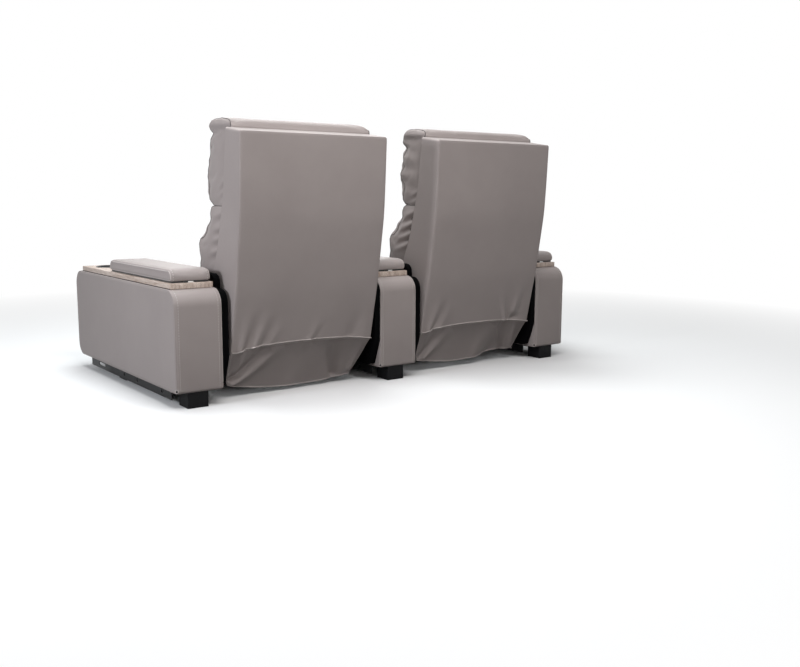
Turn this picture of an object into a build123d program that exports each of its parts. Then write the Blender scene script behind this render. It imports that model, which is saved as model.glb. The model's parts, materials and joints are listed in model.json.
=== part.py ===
from build123d import *
import os
from math import acos, atan2, cos, degrees, hypot, radians, sin

os.makedirs("parts", exist_ok=True)

# Row of two reclining cinema seats with three padded arms.
# X runs along the row (+X is the sitters' left), the sitters face -Y, +Z is up.
# The origin is the middle of the footprint on the floor.  "d" below is the
# distance forward of the arms' rear ends, and "u" the distance from a seat's
# middle plane, so a point of a side profile is (d, z).

# ---- the row ---------------------------------------------------------------
BACK_HALF = 305.0             # half the width of a back
BACK_OVERHANG = 95.0          # how far the backs' top edges stand behind the arms
FIT = 0.05                    # radial clearance of running pins
SOFT_GAP = 0.5                # cushions from what they lie in front of
BACK_GAP = 12.0               # back from the side panels
SIDE_GAP = 9.0                # seat cushion from the side panels

# ---- arms ------------------------------------------------------------------
ARM_WIDTH = 178.0
ARM_LENGTH = 1050.0
ARM_HEIGHT = 361.0            # padded box, without feet and board
ARM_TOP_RADIUS = 60.0
ARM_FRONT_RADIUS = 54.0
ARM_HEEL_RADIUS = 8.0
SKIN = 4.0                    # upholstery over the arm boxes
CARCASS_WALL = 15.0
CARCASS_SETBACK = 0.4         # carcass from the skin round the curved ends
BIN_FLOOR = 194.0             # bin floor above the arm's underside
BASE_POCKET = 179.0           # hollow under the bin, from the underside

BOARD_WIDTH = 161.0
BOARD_THICK = 20.0
BOARD_REAR = 49.0
BOARD_FRONT = 980.0
BIN_WIDTH = 116.0
BIN_REAR = 84.0
BIN_FRONT = 636.0

CUP_D = 881.0
CUP_RING_RADIUS = 53.0
CUP_RADIUS = 47.5             # outside of the cup's wall
CUP_WALL = 2.0
CUP_DEPTH = 72.0
RING_THICK = 3.0
CUP_CLEARANCE = 0.5

# ---- arm lids --------------------------------------------------------------
PAD_WIDTH = 150.0
PAD_REAR = 56.0
PAD_FRONT = 664.0
PAD_THICK = 43.0
PAD_CROWN = 7.0
PAD_RADIUS = 34.0
LID_THICK = 5.0
LID_LIFT = 1.2                # lid board above the oak board
LID_INSET = 7.0
HINGE_D = 58.8
HINGE_RISE = 3.6              # hinge axis above the oak board
KNUCKLE_RADIUS = 2.3
HINGE_PIN_RADIUS = 1.2
HINGE_HALF = 25.0
KNUCKLE_HALF = 10.0
KNUCKLE_GAP = 0.3
LEAF_THICK = 0.8
LEAF_LENGTH = 20.0

# ---- feet and arm rails ----------------------------------------------------
FOOT_SIZE = 78.0
FOOT_HEIGHT = 56.0
FOOT_OFFSET = 7.0             # feet towards +X of the arm's middle
FOOT_REAR = 7.0
FRONT_FOOT_REAR = 610.0
RAIL_WIDTH = 140.0
RAIL_DROP = 38.0
RAIL_WALL = 3.0
RAIL_REAR = 92.0
RAIL_FRONT = 943.0
RAIL_SLOT_D = 815.0
RAIL_SLOT_LENGTH = 60.0
RAIL_HOLE_RADIUS = 6.0
RAIL_HOLE_D = (180.0, 420.0, 560.0)

# ---- side panels between arms and seats ------------------------------------
PANEL_THICK = 24.0
PANEL_REAR = 3.0
PANEL_BOTTOM = 66.0
PANEL_TOP = 410.0
PANEL_FRONT = 1030.0
WING_TOP = 461.0              # raised wing beside the back
WING_REAR = 60.0
WING_FRONT = 330.0

# ---- back ------------------------------------------------------------------
HEAD_TOP = 1000.0             # crest of the head pillow above the floor
SHELL_WALL = 15.0
SHELL_SEAM = (16.0, 177.0)    # lower edge of the rear face
SHELL_LOWER = (-35.0, 400.0)
SHELL_KNEE = (-78.0, 663.0)
SHELL_UPPER = (-86.0, 778.0)
SHELL_TOP_Z = HEAD_TOP - 43.0             # top edge of the rear face
SHELL_CREST = (15.0, HEAD_TOP - 27.0)     # top edge of the side bands
BAND_HEAD = (44.0, 753.0)
BAND_WAIST = (97.0, 560.0)
BAND_HIP = (137.0, 474.0)
BAND_LOW = (176.0, 352.0)
BAND_TOE = (150.0, 177.0)

BAND_RADII = [5.0, 500.0, 300.0, 200.0, 40.0]

PAN_THICK = 2.0               # steel pan behind the pillows
PAN_GAP = 1.0                 # pan from the pillows' plane and from the shell
POST_SIZE = 26.0              # square tube uprights of the back frame
TUBE_WALL = 2.5
POST_TOP = 840.0
CROSS_LOW = 420.0
CROSS_HIGH = 800.0

CREASE_Z = 700.0              # between head pillow and lumbar pillow
HEAD_FRONT = 205.0
HEAD_FULL = 0.433             # fullest height of the head pillow, as a share of it
HEAD_BACKSET = (32.0, 25.0)   # lower and upper front edges behind the fullest line
HEAD_INSET = 13.0             # pillow's end from the back's side
LUMBAR_FRONT = 292.0
LUMBAR_BOTTOM = 394.0
LUMBAR_FULL = (440.0, 560.0)  # upright part of the lumbar pillow's front
LUMBAR_SHOULDER = (50.0, 610.0)
LUMBAR_INSET = 11.0
PILLOW_BOW = 14.0             # front faces bowed across the width
PILLOW_CORNER = 56.0

SKIRT_THICK = 3.0
SKIRT_HEM_INSET = 33.0        # hem's ends from the back's sides
SKIRT_HEM_D = 100.0
SKIRT_LOW = 22.0              # middle of the hem above the floor
SKIRT_ENDS = (36.0, 50.0)     # hem's ends above the floor, right then left
# Folds from the sitter's right to left: where they part along the seam and the
# hem, as shares of the half width, and how far each swells at the hem.
SKIRT_SEAM_FOLDS = (-1.0, -0.75, -0.45, 0.3, 0.55, 0.75, 1.0)
SKIRT_HEM_FOLDS = (-1.0, -0.82, -0.5, 0.66, 0.8, 0.9, 1.0)
SKIRT_SWELLS = (7.0, -10.0, 14.0, 6.0, -5.0, 5.0)

# ---- seat ------------------------------------------------------------------
SEAT_REAR = 262.0
SEAT_FRONT = 870.0
SEAT_CROWN = 402.0
SEAT_REAR_Z = 380.0
SEAT_BOW = 10.0
DECK_BOTTOM = 284.0
DECK_THICK = 12.0
DECK_INSET = 6.0
RAIL_FLANGE = 30.0
RAIL_FLANGE_THICK = 4.0
SEAT_RAIL_DROP = 44.0
SEAT_RAIL_FRONT = 700.0

# ---- mechanism -------------------------------------------------------------
PLATE_INSET = 33.0            # mechanism plates' inner faces from the back's sides
PLATE_THICK = 4.0
PLATE_REAR = 161.0
PLATE_FRONT = 800.0
PLATE_TOP = 250.0
PLATE_HEEL = (300.0, 150.0)   # rear lower corner, clear of the swinging skirt
PLATE_TOE = 330.0             # where the plate meets the base frame
BASE_TOP = 56.0
SLEEVE_RADIUS = 12.0
SLEEVE_Z = 200.0
SLEEVE_D = (430.0, 640.0)

BACK_PIVOT = (186.0, 300.0)
BACK_PIN_RADIUS = 10.0
BRACKET_THICK = 5.0
BRACKET_GAP = 5.0             # back frame's brackets from the mechanism plates
BRACKET_REACH = 24.0          # bracket's edge from the pivot
HORN_RADIUS = 91.7            # back pivot to the drive link's pin
HORN_ANGLE = -107.5           # degrees, from forward towards up

CRANK_PIVOT = (735.0, 262.0)
CRANK_LENGTH = 205.0
LINK_LENGTH = 232.0
PAD_PIVOT = (872.0, 215.0)    # footrest board's pivot, folded in
TUBE_RADIUS = 13.0
STUB_RADIUS = 8.0
ARM_PLATE = 6.0               # thickness of the footrest's links
ARM_HALF = 11.0
LINK_PIN_RADIUS = 6.0
CRANK_GAP = 11.0              # cranks from the mechanism plates
LINK_GAP = 2.0                # between crank, link and lug

LEVER_RADIUS = 45.0           # crank pivot to the two drive pins
LEVER_ANGLE = -127.8
LEVER_HALF = 11.0
DRIVE_THICK = 5.0
DRIVE_GAP = 3.0               # drive link's inner face from the lug's
LEVER_PLATE = 5.0
DRIVE_SLOT = 6.4              # play of the drive link's front eye

ACTUATOR_REAR = (345.0, 150.0)
ACTUATOR_PIN_RADIUS = 6.0
ACTUATOR_TUBE_RADIUS = 21.0
ACTUATOR_TUBE_START = 34.0
ACTUATOR_TUBE_END = 262.0
ACTUATOR_ROD_RADIUS = 7.5
ACTUATOR_ROD_TAIL = 120.0
ACTUATOR_BORE_START = 108.0
ACTUATOR_MOTOR = (64.0, 70.0, 96.0)
EYE_THICK = 16.0
EYE_RADIUS = 13.0
EYE_DROP = 10.4               # play of the rod's eye under the pin, square to the rod
EYE_BACK = 2.7                # play of the rod's eye behind the pin, along the rod
EYE_PLAY = 0.5
EYE_RIM = 6.0
CLEVIS_GAP = 0.6
CLEVIS_THICK = 5.0

FOOTBOARD_THICK = 12.0
FOOTBOARD_SETBACK = 12.0      # pivot to the footrest board
FOOTBOARD_INSET = 23.0        # footrest board from the seat cushion's sides
FOOTBOARD_DOWN = 130.0
FOOTBOARD_UP = 155.0
FOOTPAD_INSET = 8.0
FOOTPAD_DOWN = 140.0
FOOTPAD_UP = 165.0
FOOTPAD_THICK = 60.0
FOOTPAD_BOW = 8.0

# ---- base frames -----------------------------------------------------------
TUBE_SIDE = 40.0
BASE_REAR = 340.0
BASE_FRONT = 660.0
FLOOR_PLATE = 6.0
FLOOR_PLATE_SIZE = 110.0
ANCHOR_RADIUS = 5.5
ANCHOR_INSET = 37.0           # anchor bolts from the mechanism plates' inner faces
ANCHOR_SPAN_D = 250.0

# ---- controls and supply ---------------------------------------------------
PANEL_D = 745.0
CONTROL_LENGTH = 78.0
CONTROL_WIDTH = 44.0
CONTROL_THICK = 3.0
BUTTON_RADIUS = 10.0
BUTTON_PITCH = 36.0
BUTTON_RISE = 3.0             # button above the control panel
BUTTON_LENGTH = 12.0
BUTTON_POCKET = 14.0
SUPPLY_SIZE = (150.0, 40.0, 84.0)
SUPPLY_U = -150.0
INLET = (24.0, 9.0, 17.0)

# ---- values that follow from the ones above --------------------------------
SEAT_PITCH = 2 * (BACK_HALF + BACK_GAP + PANEL_THICK) + ARM_WIDTH
PLATE_U = BACK_HALF - PLATE_INSET
BRACKET_U = PLATE_U - BRACKET_GAP - BRACKET_THICK
CRANK_U = PLATE_U - CRANK_GAP - ARM_PLATE
LINK_U = CRANK_U - LINK_GAP - ARM_PLATE
LUG_U = LINK_U - LINK_GAP - ARM_PLATE
DRIVE_U = LUG_U - DRIVE_GAP
ANCHOR_SPAN_U = 2 * (PLATE_U - ANCHOR_INSET)
HEAD_HALF = BACK_HALF - HEAD_INSET
LUMBAR_HALF = BACK_HALF - LUMBAR_INSET
SKIRT_HEM_HALF = BACK_HALF - SKIRT_HEM_INSET
DEPTH = ARM_LENGTH + BACK_OVERHANG
ARM_REAR_Y = DEPTH / 2 - BACK_OVERHANG
ARM_BOTTOM = FOOT_HEIGHT
ARM_TOP = ARM_BOTTOM + ARM_HEIGHT
BOARD_TOP = ARM_TOP + BOARD_THICK
LID_BOTTOM = BOARD_TOP + LID_LIFT
PAD_BOTTOM = LID_BOTTOM + LID_THICK
HINGE_Z = BOARD_TOP + HINGE_RISE
CONTROL_TOP = BOARD_TOP + CONTROL_THICK
PANEL_U = SEAT_PITCH / 2 - ARM_WIDTH / 2 - PANEL_THICK
SEAT_HALF = PANEL_U - SIDE_GAP
FOOTBOARD_HALF = SEAT_HALF - FOOTBOARD_INSET
FOOTPAD_HALF = SEAT_HALF - FOOTPAD_INSET
SHELL_TOP = (-BACK_OVERHANG, SHELL_TOP_Z)
DECK_TOP = DECK_BOTTOM + DECK_THICK
PIN_HOLE = LINK_PIN_RADIUS + FIT
ARMS = {"left": SEAT_PITCH, "middle": 0.0, "right": -SEAT_PITCH}
SEATS = {"left": SEAT_PITCH / 2, "right": -SEAT_PITCH / 2}


def span(x0, x1, d0, d1, z0, z1):
    """Box from its limits; d runs forward from the arms' rear ends."""
    centre = ((x0 + x1) / 2, ARM_REAR_Y - (d0 + d1) / 2, (z0 + z1) / 2)
    return Pos(*centre) * Box(abs(x1 - x0), d1 - d0, z1 - z0)


def outline(points, radii=0):
    """Closed wire in the side plane, with one radius for each corner."""
    flat = [(ARM_REAR_Y - d, z) for d, z in points]
    if radii == 0:
        return Polyline(*flat, close=True)
    return FilletPolyline(*flat, radius=radii, close=True)


def slab(x0, x1, points, radii=0):
    """Side profile extruded along the row from x0 to x1."""
    face = make_face(Plane.YZ.offset(min(x0, x1)) * outline(points, radii))
    return extrude(face, amount=abs(x1 - x0), dir=(1, 0, 0))


def rod(x0, x1, point, radius):
    """Cylinder along the row through a point of the side plane."""
    place = Pos((x0 + x1) / 2, ARM_REAR_Y - point[0], point[1]) * Rot(0, 90, 0)
    return place * Cylinder(radius, abs(x1 - x0))


def bar(x0, x1, a, b, half):
    """Flat bar with round ends between two points of the side plane."""
    along = atan2(b[1] - a[1], a[0] - b[0])
    middle = (ARM_REAR_Y - (a[0] + b[0]) / 2, (a[1] + b[1]) / 2)
    shape = SlotCenterToCenter(hypot(b[0] - a[0], b[1] - a[1]), 2 * half)
    face = Plane.YZ.offset(min(x0, x1)) * (Pos(*middle) * (Rot(0, 0, degrees(along)) * shape))
    return extrude(face, amount=abs(x1 - x0), dir=(1, 0, 0))


def polar(centre, radius, angle):
    """Point at an angle from forward towards up, in degrees."""
    return (centre[0] + radius * cos(radians(angle)), centre[1] + radius * sin(radians(angle)))


def elbow(a, b, first, second):
    """Lower meeting point of two bars pivoted at a and b."""
    reach = hypot(b[0] - a[0], b[1] - a[1])
    inner = acos((first**2 + reach**2 - second**2) / (2 * first * reach))
    return polar(a, first, degrees(atan2(b[1] - a[1], b[0] - a[0]) - inner))


def plan_bow(half, rear, front, bow, corner, z0, z1, x):
    """Upright prism whose front edge bows across the width."""
    y_front = ARM_REAR_Y - front + bow
    y_rear = ARM_REAR_Y - rear
    left, right = x - half, x + half
    edges = [
        Line((left, y_rear), (left, y_front + corner)),
        ThreePointArc((left, y_front + corner), (left + 0.3 * corner, y_front + 0.3 * corner),
                      (left + corner, y_front)),
        ThreePointArc((left + corner, y_front), (x, y_front - bow), (right - corner, y_front)),
        ThreePointArc((right - corner, y_front), (right - 0.3 * corner, y_front + 0.3 * corner),
                      (right, y_front + corner)),
        Line((right, y_front + corner), (right, y_rear)),
        Line((right, y_rear), (left, y_rear)),
    ]
    return extrude(Pos(0, 0, z0) * make_face(edges), amount=z1 - z0, dir=(0, 0, 1))


def front_bow(half, bottom, top, bow, corner, d0, d1, x):
    """Prism along the seat's depth whose top edge bows across the width."""
    left, right = x - half, x + half
    low = top - bow
    edges = [
        Line((left, bottom), (left, low - corner)),
        ThreePointArc((left, low - corner), (left + 0.3 * corner, low - 0.3 * corner), (left + corner, low)),
        ThreePointArc((left + corner, low), (x, top), (right - corner, low)),
        ThreePointArc((right - corner, low), (right - 0.3 * corner, low - 0.3 * corner), (right, low - corner)),
        Line((right, low - corner), (right, bottom)),
        Line((right, bottom), (left, bottom)),
    ]
    face = Plane.XZ.offset(d0 - ARM_REAR_Y) * make_face(edges)
    return extrude(face, amount=d1 - d0, dir=(0, -1, 0))


def save(name, *solids):
    """One node, from one solid or a group of separate ones."""
    shape = solids[0] if len(solids) == 1 else Compound(children=list(solids))
    export_step(shape, f"parts/{name}.step")


def both(seat_x, u0, u1):
    """The mirrored pair of stretches u0..u1 on either side of a seat."""
    return [(seat_x + u0, seat_x + u1), (seat_x - u1, seat_x - u0)]


# ---- arms ------------------------------------------------------------------
def arm_profile(inset):
    top, low = ARM_TOP - inset, ARM_BOTTOM + inset
    near, far = inset, ARM_LENGTH - inset
    points = [(near, low), (near, top), (far, top), (far, low)]
    return points, [max(ARM_HEEL_RADIUS - inset, 1.0), ARM_TOP_RADIUS - inset,
                    ARM_TOP_RADIUS - inset, ARM_FRONT_RADIUS - inset]


def cup_point(x, z):
    return Pos(x, ARM_REAR_Y - CUP_D, z)


def arm_cover(x):
    half = ARM_WIDTH / 2
    rim = CARCASS_WALL + SKIN
    shell = slab(x - half, x + half, *arm_profile(0))
    shell -= slab(x - half + SKIN, x + half - SKIN, *arm_profile(SKIN))
    shell -= span(x - BIN_WIDTH / 2, x + BIN_WIDTH / 2, BIN_REAR, BIN_FRONT, ARM_TOP - 2 * SKIN, ARM_TOP + 1)
    shell -= cup_point(x, ARM_TOP) * Cylinder(CUP_RADIUS + CUP_CLEARANCE, 4 * SKIN)
    shell -= span(x - half + rim, x + half - rim, RAIL_REAR + rim, RAIL_FRONT - rim,
                  ARM_BOTTOM - 1, ARM_BOTTOM + 2 * SKIN)
    return shell


def arm_carcass(x):
    half = ARM_WIDTH / 2 - SKIN
    floor = ARM_BOTTOM + BIN_FLOOR
    body = slab(x - half, x + half, *arm_profile(SKIN + CARCASS_SETBACK))
    body -= span(x - BIN_WIDTH / 2, x + BIN_WIDTH / 2, BIN_REAR, BIN_FRONT, floor, ARM_TOP + 1)
    body -= cup_point(x, ARM_TOP - CUP_DEPTH) * Cylinder(CUP_RADIUS + CUP_CLEARANCE, 2 * CUP_DEPTH)
    body -= span(x - half + CARCASS_WALL, x + half - CARCASS_WALL, RAIL_REAR, RAIL_FRONT,
                 ARM_BOTTOM, ARM_BOTTOM + BASE_POCKET)
    return body


def button_points(x):
    """Middle of each button on the arm that carries a control panel."""
    return [(x, PANEL_D - BUTTON_PITCH / 2), (x, PANEL_D + BUTTON_PITCH / 2)]


def arm_board(x, has_controls):
    board = span(x - BOARD_WIDTH / 2, x + BOARD_WIDTH / 2, BOARD_REAR, BOARD_FRONT, ARM_TOP, BOARD_TOP)
    board = fillet(board.edges().filter_by(Axis.Z), 4)
    board -= span(x - BIN_WIDTH / 2, x + BIN_WIDTH / 2, BIN_REAR, BIN_FRONT, ARM_TOP - 1, BOARD_TOP + 1)
    board -= cup_point(x, ARM_TOP) * Cylinder(CUP_RADIUS + CUP_CLEARANCE, 3 * BOARD_THICK)
    if has_controls:
        for bx, bd in button_points(x):
            pocket = Cylinder(BUTTON_RADIUS + 1, BUTTON_POCKET, align=(Align.CENTER, Align.CENTER, Align.MAX))
            board -= Pos(bx, ARM_REAR_Y - bd, BOARD_TOP) * pocket
    return board


def cup_holder(x):
    high = (Align.CENTER, Align.CENTER, Align.MIN)
    ring = cup_point(x, BOARD_TOP) * Cylinder(CUP_RING_RADIUS, RING_THICK, align=high)
    ring = fillet(ring.edges().group_by(Axis.Z)[-1], RING_THICK * 0.6)
    base = BOARD_TOP - CUP_DEPTH
    ring += cup_point(x, base) * Cylinder(CUP_RADIUS, CUP_DEPTH, align=high)
    return ring - cup_point(x, base + CUP_WALL) * Cylinder(CUP_RADIUS - CUP_WALL, CUP_DEPTH + 2 * RING_THICK,
                                                           align=high)


def hinge_axis(x0, x1, radius):
    return rod(x0, x1, (HINGE_D, HINGE_Z), radius)


def lid_board(x):
    half = PAD_WIDTH / 2 - LID_INSET
    lid = span(x - half, x + half, PAD_REAR + LID_INSET, PAD_FRONT - LID_INSET, LID_BOTTOM, PAD_BOTTOM)
    notch = HINGE_HALF + 1
    lid -= span(x - notch, x + notch, PAD_REAR, HINGE_D + KNUCKLE_RADIUS + LEAF_LENGTH,
                LID_BOTTOM - 1, BOARD_TOP + LEAF_THICK + LID_LIFT)
    for side in (-1, 1):
        x0 = x + side * (KNUCKLE_HALF + KNUCKLE_GAP)
        x1 = x + side * HINGE_HALF
        lid += hinge_axis(x0, x1, KNUCKLE_RADIUS)
        lid += span(min(x0, x1), max(x0, x1), HINGE_D, PAD_REAR + LID_INSET + 2,
                    HINGE_Z, HINGE_Z + KNUCKLE_RADIUS - 0.3)
    return lid - hinge_axis(x - HINGE_HALF - 1, x + HINGE_HALF + 1, HINGE_PIN_RADIUS + FIT)


def lid_hinge(x):
    leaf = span(x - KNUCKLE_HALF, x + KNUCKLE_HALF, HINGE_D, HINGE_D + LEAF_LENGTH, BOARD_TOP,
                BOARD_TOP + LEAF_THICK)
    leaf += hinge_axis(x - KNUCKLE_HALF, x + KNUCKLE_HALF, KNUCKLE_RADIUS)
    leaf += span(x - KNUCKLE_HALF, x + KNUCKLE_HALF, HINGE_D - 1.5, HINGE_D + 1.5, BOARD_TOP, HINGE_Z)
    leaf -= hinge_axis(x - KNUCKLE_HALF - 1, x + KNUCKLE_HALF + 1, HINGE_PIN_RADIUS + FIT)
    pin = hinge_axis(x - HINGE_HALF, x + HINGE_HALF, HINGE_PIN_RADIUS)
    return [leaf, pin]


def arm_pad(x):
    top = PAD_BOTTOM + PAD_THICK
    points = [(PAD_REAR, PAD_BOTTOM), (PAD_REAR, top), (PAD_FRONT, top), (PAD_FRONT, PAD_BOTTOM)]
    body = slab(x - PAD_WIDTH / 2, x + PAD_WIDTH / 2, points,
                [3.0, PAD_RADIUS * 0.5, PAD_RADIUS, 3.0])
    return body & front_bow(PAD_WIDTH / 2, PAD_BOTTOM, top, PAD_CROWN, 12.0, PAD_REAR, PAD_FRONT, x)


lid_hinges = []
for side, x in ARMS.items():
    save(f"{side}_arm_cover", arm_cover(x))
    save(f"{side}_arm_carcass", arm_carcass(x))
    save(f"{side}_arm_board", arm_board(x, side != "left"))
    save(f"{side}_cup_holder", cup_holder(x))
    save(f"{side}_lid_board", lid_board(x))
    save(f"{side}_arm_pad", arm_pad(x))
    lid_hinges += lid_hinge(x)
save("lid_hinges", *lid_hinges)


# ---- feet and rails --------------------------------------------------------
def foot(x, d, height):
    half = FOOT_SIZE / 2
    block = span(x + FOOT_OFFSET - half, x + FOOT_OFFSET + half, d, d + FOOT_SIZE, 0, height)
    return chamfer(block.edges().filter_by(Axis.Z), 2)


def arm_rail(x):
    half = RAIL_WIDTH / 2
    low = FOOT_HEIGHT - RAIL_DROP
    rail = span(x - half, x + half, RAIL_REAR, RAIL_FRONT, low, FOOT_HEIGHT)
    rail -= span(x - half + RAIL_WALL, x + half - RAIL_WALL, RAIL_REAR - 1, RAIL_FRONT + 1,
                 low - 1, FOOT_HEIGHT - RAIL_WALL)
    middle = low + RAIL_DROP / 2
    for d in RAIL_HOLE_D:
        rail -= rod(x - half - 1, x + half + 1, (d, middle), RAIL_HOLE_RADIUS)
    ends = [(RAIL_SLOT_D - RAIL_SLOT_LENGTH / 2, middle), (RAIL_SLOT_D + RAIL_SLOT_LENGTH / 2, middle)]
    return rail - bar(x - half - 1, x + half + 1, *ends, RAIL_HOLE_RADIUS)


save("feet", *[foot(x, d, h) for x in ARMS.values()
               for d, h in ((FOOT_REAR, FOOT_HEIGHT), (FRONT_FOOT_REAR, FOOT_HEIGHT - RAIL_WALL))])
save("arm_rails", *[arm_rail(x) for x in ARMS.values()])


# ---- side panels -----------------------------------------------------------
def side_panel(x0, x1):
    points = [(PANEL_REAR + 36, PANEL_BOTTOM), (PANEL_REAR, PANEL_BOTTOM + 100), (PANEL_REAR, PANEL_TOP),
              (WING_REAR, PANEL_TOP), (WING_REAR, WING_TOP), (WING_FRONT, WING_TOP),
              (WING_FRONT + 70, PANEL_TOP), (PANEL_FRONT, PANEL_TOP), (PANEL_FRONT, PANEL_BOTTOM)]
    return slab(x0, x1, points, [20.0, 40.0, 46.0, 4.0, 34.0, 30.0, 60.0, 50.0, 40.0])


panels = []
for seat_x in SEATS.values():
    for x0, x1 in both(seat_x, PANEL_U, PANEL_U + PANEL_THICK):
        panels.append(side_panel(x0, x1))
save("side_panels", *panels)

# ---- mechanism plates ------------------------------------------------------
plates = []
plate_points = [(PLATE_TOE, BASE_TOP), PLATE_HEEL, (PLATE_REAR, BACK_PIVOT[1] - 30), (PLATE_REAR, BACK_PIVOT[1] + 25),
                (BACK_PIVOT[0] + 25, BACK_PIVOT[1] + 25), (BACK_PIVOT[0] + 45, PLATE_TOP),
                (CRANK_PIVOT[0] - 40, PLATE_TOP), (CRANK_PIVOT[0] - 20, CRANK_PIVOT[1] + 19),
                (CRANK_PIVOT[0] + 20, CRANK_PIVOT[1] + 19), (PLATE_FRONT, PLATE_TOP - 60), (PLATE_FRONT, BASE_TOP)]
plate_radii = [2.0, 30.0, 20.0, 20.0, 20.0, 20.0, 15.0, 10.0, 15.0, 20.0, 30.0]
for seat_x in SEATS.values():
    for x0, x1 in both(seat_x, PLATE_U, PLATE_U + PLATE_THICK):
        plate = slab(x0, x1, plate_points, plate_radii)
        plate -= rod(x0 - 1, x1 + 1, BACK_PIVOT, BACK_PIN_RADIUS + FIT)
        plate -= rod(x0 - 1, x1 + 1, CRANK_PIVOT, STUB_RADIUS + FIT)
        plates.append(plate)
    for x0, x1 in both(seat_x, PLATE_U + PLATE_THICK, PANEL_U):
        for d in SLEEVE_D:
            plates.append(rod(x0, x1, (d, SLEEVE_Z), SLEEVE_RADIUS))
save("mech_plates", *plates)

# ---- drive geometry of one seat --------------------------------------------
ELBOW = elbow(CRANK_PIVOT, PAD_PIVOT, CRANK_LENGTH, LINK_LENGTH)
HORN_PIN = polar(BACK_PIVOT, HORN_RADIUS, HORN_ANGLE)
LEVER_PIN = polar(CRANK_PIVOT, LEVER_RADIUS, LEVER_ANGLE)
ACTUATOR_RUN = hypot(LEVER_PIN[0] - ACTUATOR_REAR[0], LEVER_PIN[1] - ACTUATOR_REAR[1])
ACTUATOR_TILT = degrees(atan2(LEVER_PIN[1] - ACTUATOR_REAR[1], LEVER_PIN[0] - ACTUATOR_REAR[0]))
print("elbow", [round(v, 3) for v in ELBOW], "horn pin", [round(v, 3) for v in HORN_PIN])
print("lever pin", [round(v, 3) for v in LEVER_PIN], "actuator", round(ACTUATOR_RUN, 3), round(ACTUATOR_TILT, 3))


def along_actuator(seat_x, distance):
    """Frame on the actuator's axis: local z runs towards the rod's eye."""
    point = polar(ACTUATOR_REAR, distance, ACTUATOR_TILT)
    return Pos(seat_x, ARM_REAR_Y - point[0], point[1]) * Rot(90 - ACTUATOR_TILT, 0, 0)


def base_frame(seat_x):
    """Two long tubes, two cross tubes, four floor plates and the clevis."""
    outer = PLATE_U + PLATE_THICK / 2 + TUBE_SIDE / 2
    low = BASE_TOP - TUBE_SIDE
    solids = []
    w = TUBE_WALL
    for x0, x1 in both(seat_x, outer - TUBE_SIDE, outer):
        tube = span(x0, x1, BASE_REAR, BASE_FRONT, low, BASE_TOP)
        solids.append(tube - span(x0 + w, x1 - w, BASE_REAR - 1, BASE_FRONT + 1, low + w, BASE_TOP - w))
    inner = outer - TUBE_SIDE
    for d in (BASE_REAR, BASE_FRONT - TUBE_SIDE):
        tube = span(seat_x - inner, seat_x + inner, d, d + TUBE_SIDE, low, BASE_TOP)
        solids.append(tube - span(seat_x - inner - 1, seat_x + inner + 1, d + w, d + TUBE_SIDE - w,
                                  low + w, BASE_TOP - w))
    middle_d = (BASE_REAR + BASE_FRONT) / 2
    half = FLOOR_PLATE_SIZE / 2
    for side in (-1, 1):
        for end in (-1, 1):
            x = seat_x + side * ANCHOR_SPAN_U / 2
            d = middle_d + end * ANCHOR_SPAN_D / 2
            foot_plate = span(x - half, x + half, d - half, d + half, 0, FLOOR_PLATE)
            post = span(seat_x + side * (inner + 4), seat_x + side * (outer - 4), d - 20, d + 20, FLOOR_PLATE, low)
            hole = Pos(x, ARM_REAR_Y - d, 0) * Cylinder(ANCHOR_RADIUS, 4 * FLOOR_PLATE)
            solids.append(foot_plate - hole)
            solids.append(post)
    for side in (-1, 1):
        u0 = EYE_THICK / 2 + CLEVIS_GAP
        x0, x1 = seat_x + side * u0, seat_x + side * (u0 + CLEVIS_THICK)
        x0, x1 = min(x0, x1), max(x0, x1)
        ear = slab(x0, x1, [(BASE_REAR + 2, BASE_TOP), (ACTUATOR_REAR[0] - 16, ACTUATOR_REAR[1] + 16),
                            (ACTUATOR_REAR[0] + 16, ACTUATOR_REAR[1] + 16), (BASE_REAR + TUBE_SIDE - 2, BASE_TOP)],
                   [1.0, 14.0, 14.0, 1.0])
        solids.append(ear - rod(x0 - 1, x1 + 1, ACTUATOR_REAR, ACTUATOR_PIN_RADIUS + FIT))
    return solids


def seat_frame(seat_x):
    """Angle rails on the mechanism plates with the plywood deck on top."""
    solids = []
    for x0, x1 in both(seat_x, PLATE_U - RAIL_FLANGE_THICK, PLATE_U):
        solids.append(span(x0, x1, SEAT_REAR + 8, SEAT_RAIL_FRONT, DECK_BOTTOM - SEAT_RAIL_DROP, DECK_BOTTOM))
    for x0, x1 in both(seat_x, PLATE_U - RAIL_FLANGE, PLATE_U - RAIL_FLANGE_THICK):
        solids.append(span(x0, x1, SEAT_REAR + 8, SEAT_RAIL_FRONT, DECK_BOTTOM - RAIL_FLANGE_THICK, DECK_BOTTOM))
    deck_half = SEAT_HALF - DECK_INSET
    solids.append(span(seat_x - deck_half, seat_x + deck_half, SEAT_REAR + DECK_INSET,
                       SEAT_FRONT - DECK_INSET, DECK_BOTTOM, DECK_TOP))
    return solids


def seat_cushion(seat_x):
    points = [(SEAT_REAR, DECK_TOP), (SEAT_REAR, SEAT_REAR_Z), (SEAT_FRONT - 190, SEAT_CROWN),
              (SEAT_FRONT, SEAT_CROWN - 6), (SEAT_FRONT, DECK_TOP)]
    body = slab(seat_x - SEAT_HALF, seat_x + SEAT_HALF, points, [6.0, 30.0, 400.0, 46.0, 16.0])
    body &= front_bow(SEAT_HALF, DECK_TOP, SEAT_CROWN, SEAT_BOW, 26.0, SEAT_REAR, SEAT_FRONT, seat_x)
    return body & plan_bow(SEAT_HALF, SEAT_REAR, SEAT_FRONT, SEAT_BOW, 24.0, DECK_TOP, SEAT_CROWN, seat_x)


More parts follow.
